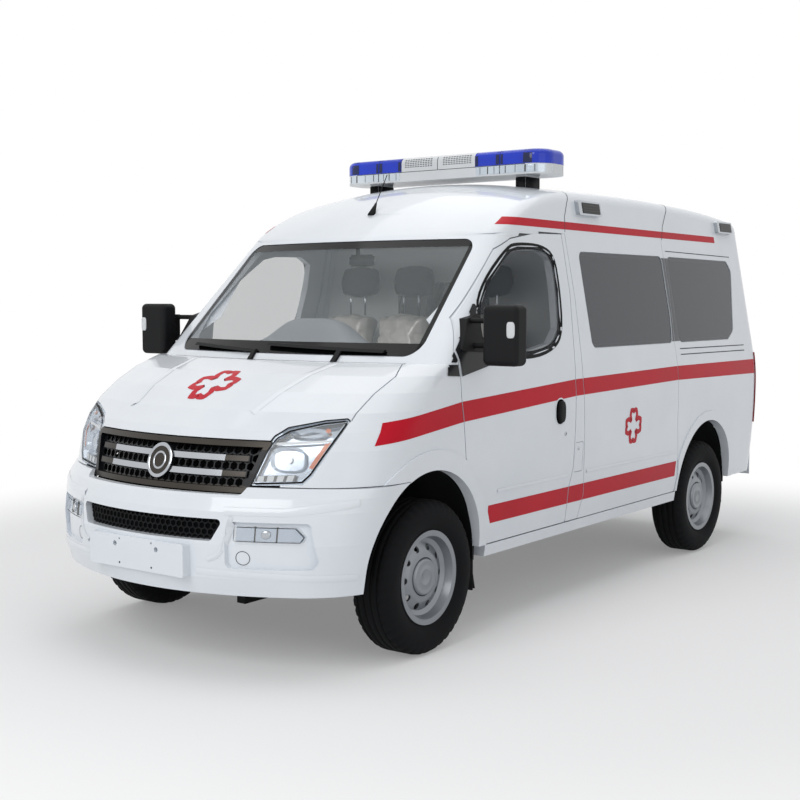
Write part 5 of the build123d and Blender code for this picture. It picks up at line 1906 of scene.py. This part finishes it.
@dataclass
class Studio:
    """A pale floor, soft lamps and the camera."""

    place: Spot = (6.363, 4.3716, 1.6669)
    azimuth: float = 216.57
    elevation: float = -4.52
    lens: float = 57.89
    sensor: float = 36.0
    # name, place, size and power of each lamp, and the point that they all shine at
    lamps: tuple[tuple[str, Spot, float, float], ...] = (
        ("key_lamp", (9.0, 0.5, 6.0), 5.0, 290.0),
        ("fill_lamp", (4.0, 8.0, 3.0), 6.0, 50.0),
        ("top_lamp", (-1.0, 0.0, 8.0), 9.0, 210.0),
    )
    aim: Spot = (0.0, 0.0, 1.0)
    # half the floor's side, the strength of the soft daylight, and the distances from the origin
    # between which the floor fades to white
    reach: float = 40.0
    daylight: float = 0.46
    fade: tuple[float, float] = (2.9, 5.2)
    # how white the floor is where it has not faded
    near_white: float = 0.22

    def build(self) -> None:
        """Builds the floor, lamps, world and camera."""
        scene = bpy.context.scene
        scene.view_settings.view_transform = "Standard"
        self._floor()
        self._world()
        for name, spot, size, power in self.lamps:
            lamp = bpy.data.lights.new(name, "AREA")
            lamp.size, lamp.energy = size, power
            holder = bpy.data.objects.new(name, lamp)
            holder.location = spot
            holder.rotation_euler = (Vector(self.aim) - Vector(spot)).to_track_quat("-Z", "Y").to_euler()
            scene.collection.objects.link(holder)
        eye = bpy.data.cameras.new("view")
        eye.lens, eye.sensor_width = self.lens, self.sensor
        holder = bpy.data.objects.new("view", eye)
        holder.location = self.place
        turn, rise = math.radians(self.azimuth), math.radians(self.elevation)
        look = Vector((math.cos(rise) * math.cos(turn), math.cos(rise) * math.sin(turn), math.sin(rise)))
        holder.rotation_euler = look.to_track_quat("-Z", "Y").to_euler()
        scene.collection.objects.link(holder)
        scene.camera = holder

    def _floor(self) -> None:
        """Lays the floor, white where it is seen and plain where it is lit."""
        mesh = bpy.data.meshes.new("studio_floor")
        corners_flat = rectangle(-self.reach, -self.reach, self.reach, self.reach)
        mesh.from_pydata([(x, y, 0.0) for x, y in corners_flat], [], [(0, 1, 2, 3)])
        paint = bpy.data.materials.new("studio_floor_paint")
        paint.use_nodes = True
        tree = paint.node_tree
        tree.nodes.clear()
        matt = add_node(tree, "ShaderNodeBsdfDiffuse", {"Color": linear("F2F3F4")})
        white = add_node(tree, "ShaderNodeEmission", {"Color": linear("FFFFFF"), "Strength": 1.0})
        place = add_node(tree, "ShaderNodeTexCoord")
        away = add_node(tree, "ShaderNodeVectorMath", {"operation": "LENGTH"})
        tree.links.new(place.outputs["Object"], away.inputs[0])
        fade = add_node(
            tree,
            "ShaderNodeMapRange",
            {
                "From Min": self.fade[0],
                "From Max": self.fade[1],
                "To Min": self.near_white,
                "To Max": 1.0,
                "interpolation_type": "SMOOTHSTEP",
            },
            {"Value": away.outputs["Value"]},
        )
        share = add_node(tree, "ShaderNodeMath", {"operation": "MULTIPLY"})
        tree.links.new(fade.outputs["Result"], share.inputs[0])
        tree.links.new(self._seen(tree), share.inputs[1])
        mix = add_node(tree, "ShaderNodeMixShader", {}, {"Fac": share.outputs["Value"]})
        tree.links.new(matt.outputs["BSDF"], mix.inputs[1])
        tree.links.new(white.outputs["Emission"], mix.inputs[2])
        add_node(tree, "ShaderNodeOutputMaterial", {}, {"Surface": mix.outputs["Shader"]})
        mesh.materials.append(paint)
        floor = bpy.data.objects.new("studio_floor", mesh)
        bpy.context.scene.collection.objects.link(floor)

    def _seen(self, tree: bpy.types.NodeTree) -> bpy.types.NodeSocket:
        """Adds a value that is 1 for rays from the eye, from gloss and through glass.

        Args:
            tree: The material's or the world's node tree.

        Returns:
            The socket that holds it.
        """
        path = add_node(tree, "ShaderNodeLightPath")
        gloss = add_node(tree, "ShaderNodeMath", {"operation": "MAXIMUM"})
        tree.links.new(path.outputs["Is Camera Ray"], gloss.inputs[0])
        tree.links.new(path.outputs["Is Glossy Ray"], gloss.inputs[1])
        seen = add_node(tree, "ShaderNodeMath", {"operation": "MAXIMUM"})
        tree.links.new(gloss.outputs["Value"], seen.inputs[0])
        tree.links.new(path.outputs["Is Transmission Ray"], seen.inputs[1])
        return seen.outputs["Value"]

    def _world(self) -> None:
        """Sets a white background that lights the object softly."""
        world = bpy.data.worlds.new("studio")
        world.use_nodes = True
        tree = world.node_tree
        tree.nodes.clear()
        soft = add_node(tree, "ShaderNodeBackground", {"Color": linear("FFFFFF"), "Strength": self.daylight})
        seen = add_node(tree, "ShaderNodeBackground", {"Color": linear("FFFFFF"), "Strength": 1.0})
        mix = add_node(tree, "ShaderNodeMixShader", {}, {"Fac": self._seen(tree)})
        tree.links.new(soft.outputs["Background"], mix.inputs[1])
        tree.links.new(seen.outputs["Background"], mix.inputs[2])
        add_node(tree, "ShaderNodeOutputWorld", {}, {"Surface": mix.outputs["Shader"]})
        bpy.context.scene.world = world


def main() -> None:
    """Builds every sub-assembly in order."""
    logging.basicConfig(level=logging.INFO, format="%(name)s %(message)s")
    shop = Workshop(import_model())
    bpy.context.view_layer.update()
    bodywork = Bodywork(shop)
    bodywork.dress()
    bodywork.glass_bands()
    bodywork.seams()
    bodywork.fittings()
    for part in (Stripes, FrontTrim, Lamps, LightBar, Mirrors, Emblems, Tyres, WheelCaps, Upholstery, Cabin):
        part(shop).build()
    Studio().build()
    LOG.info("%d pieces", len(shop.made))


if __name__ == "__main__":
    main()
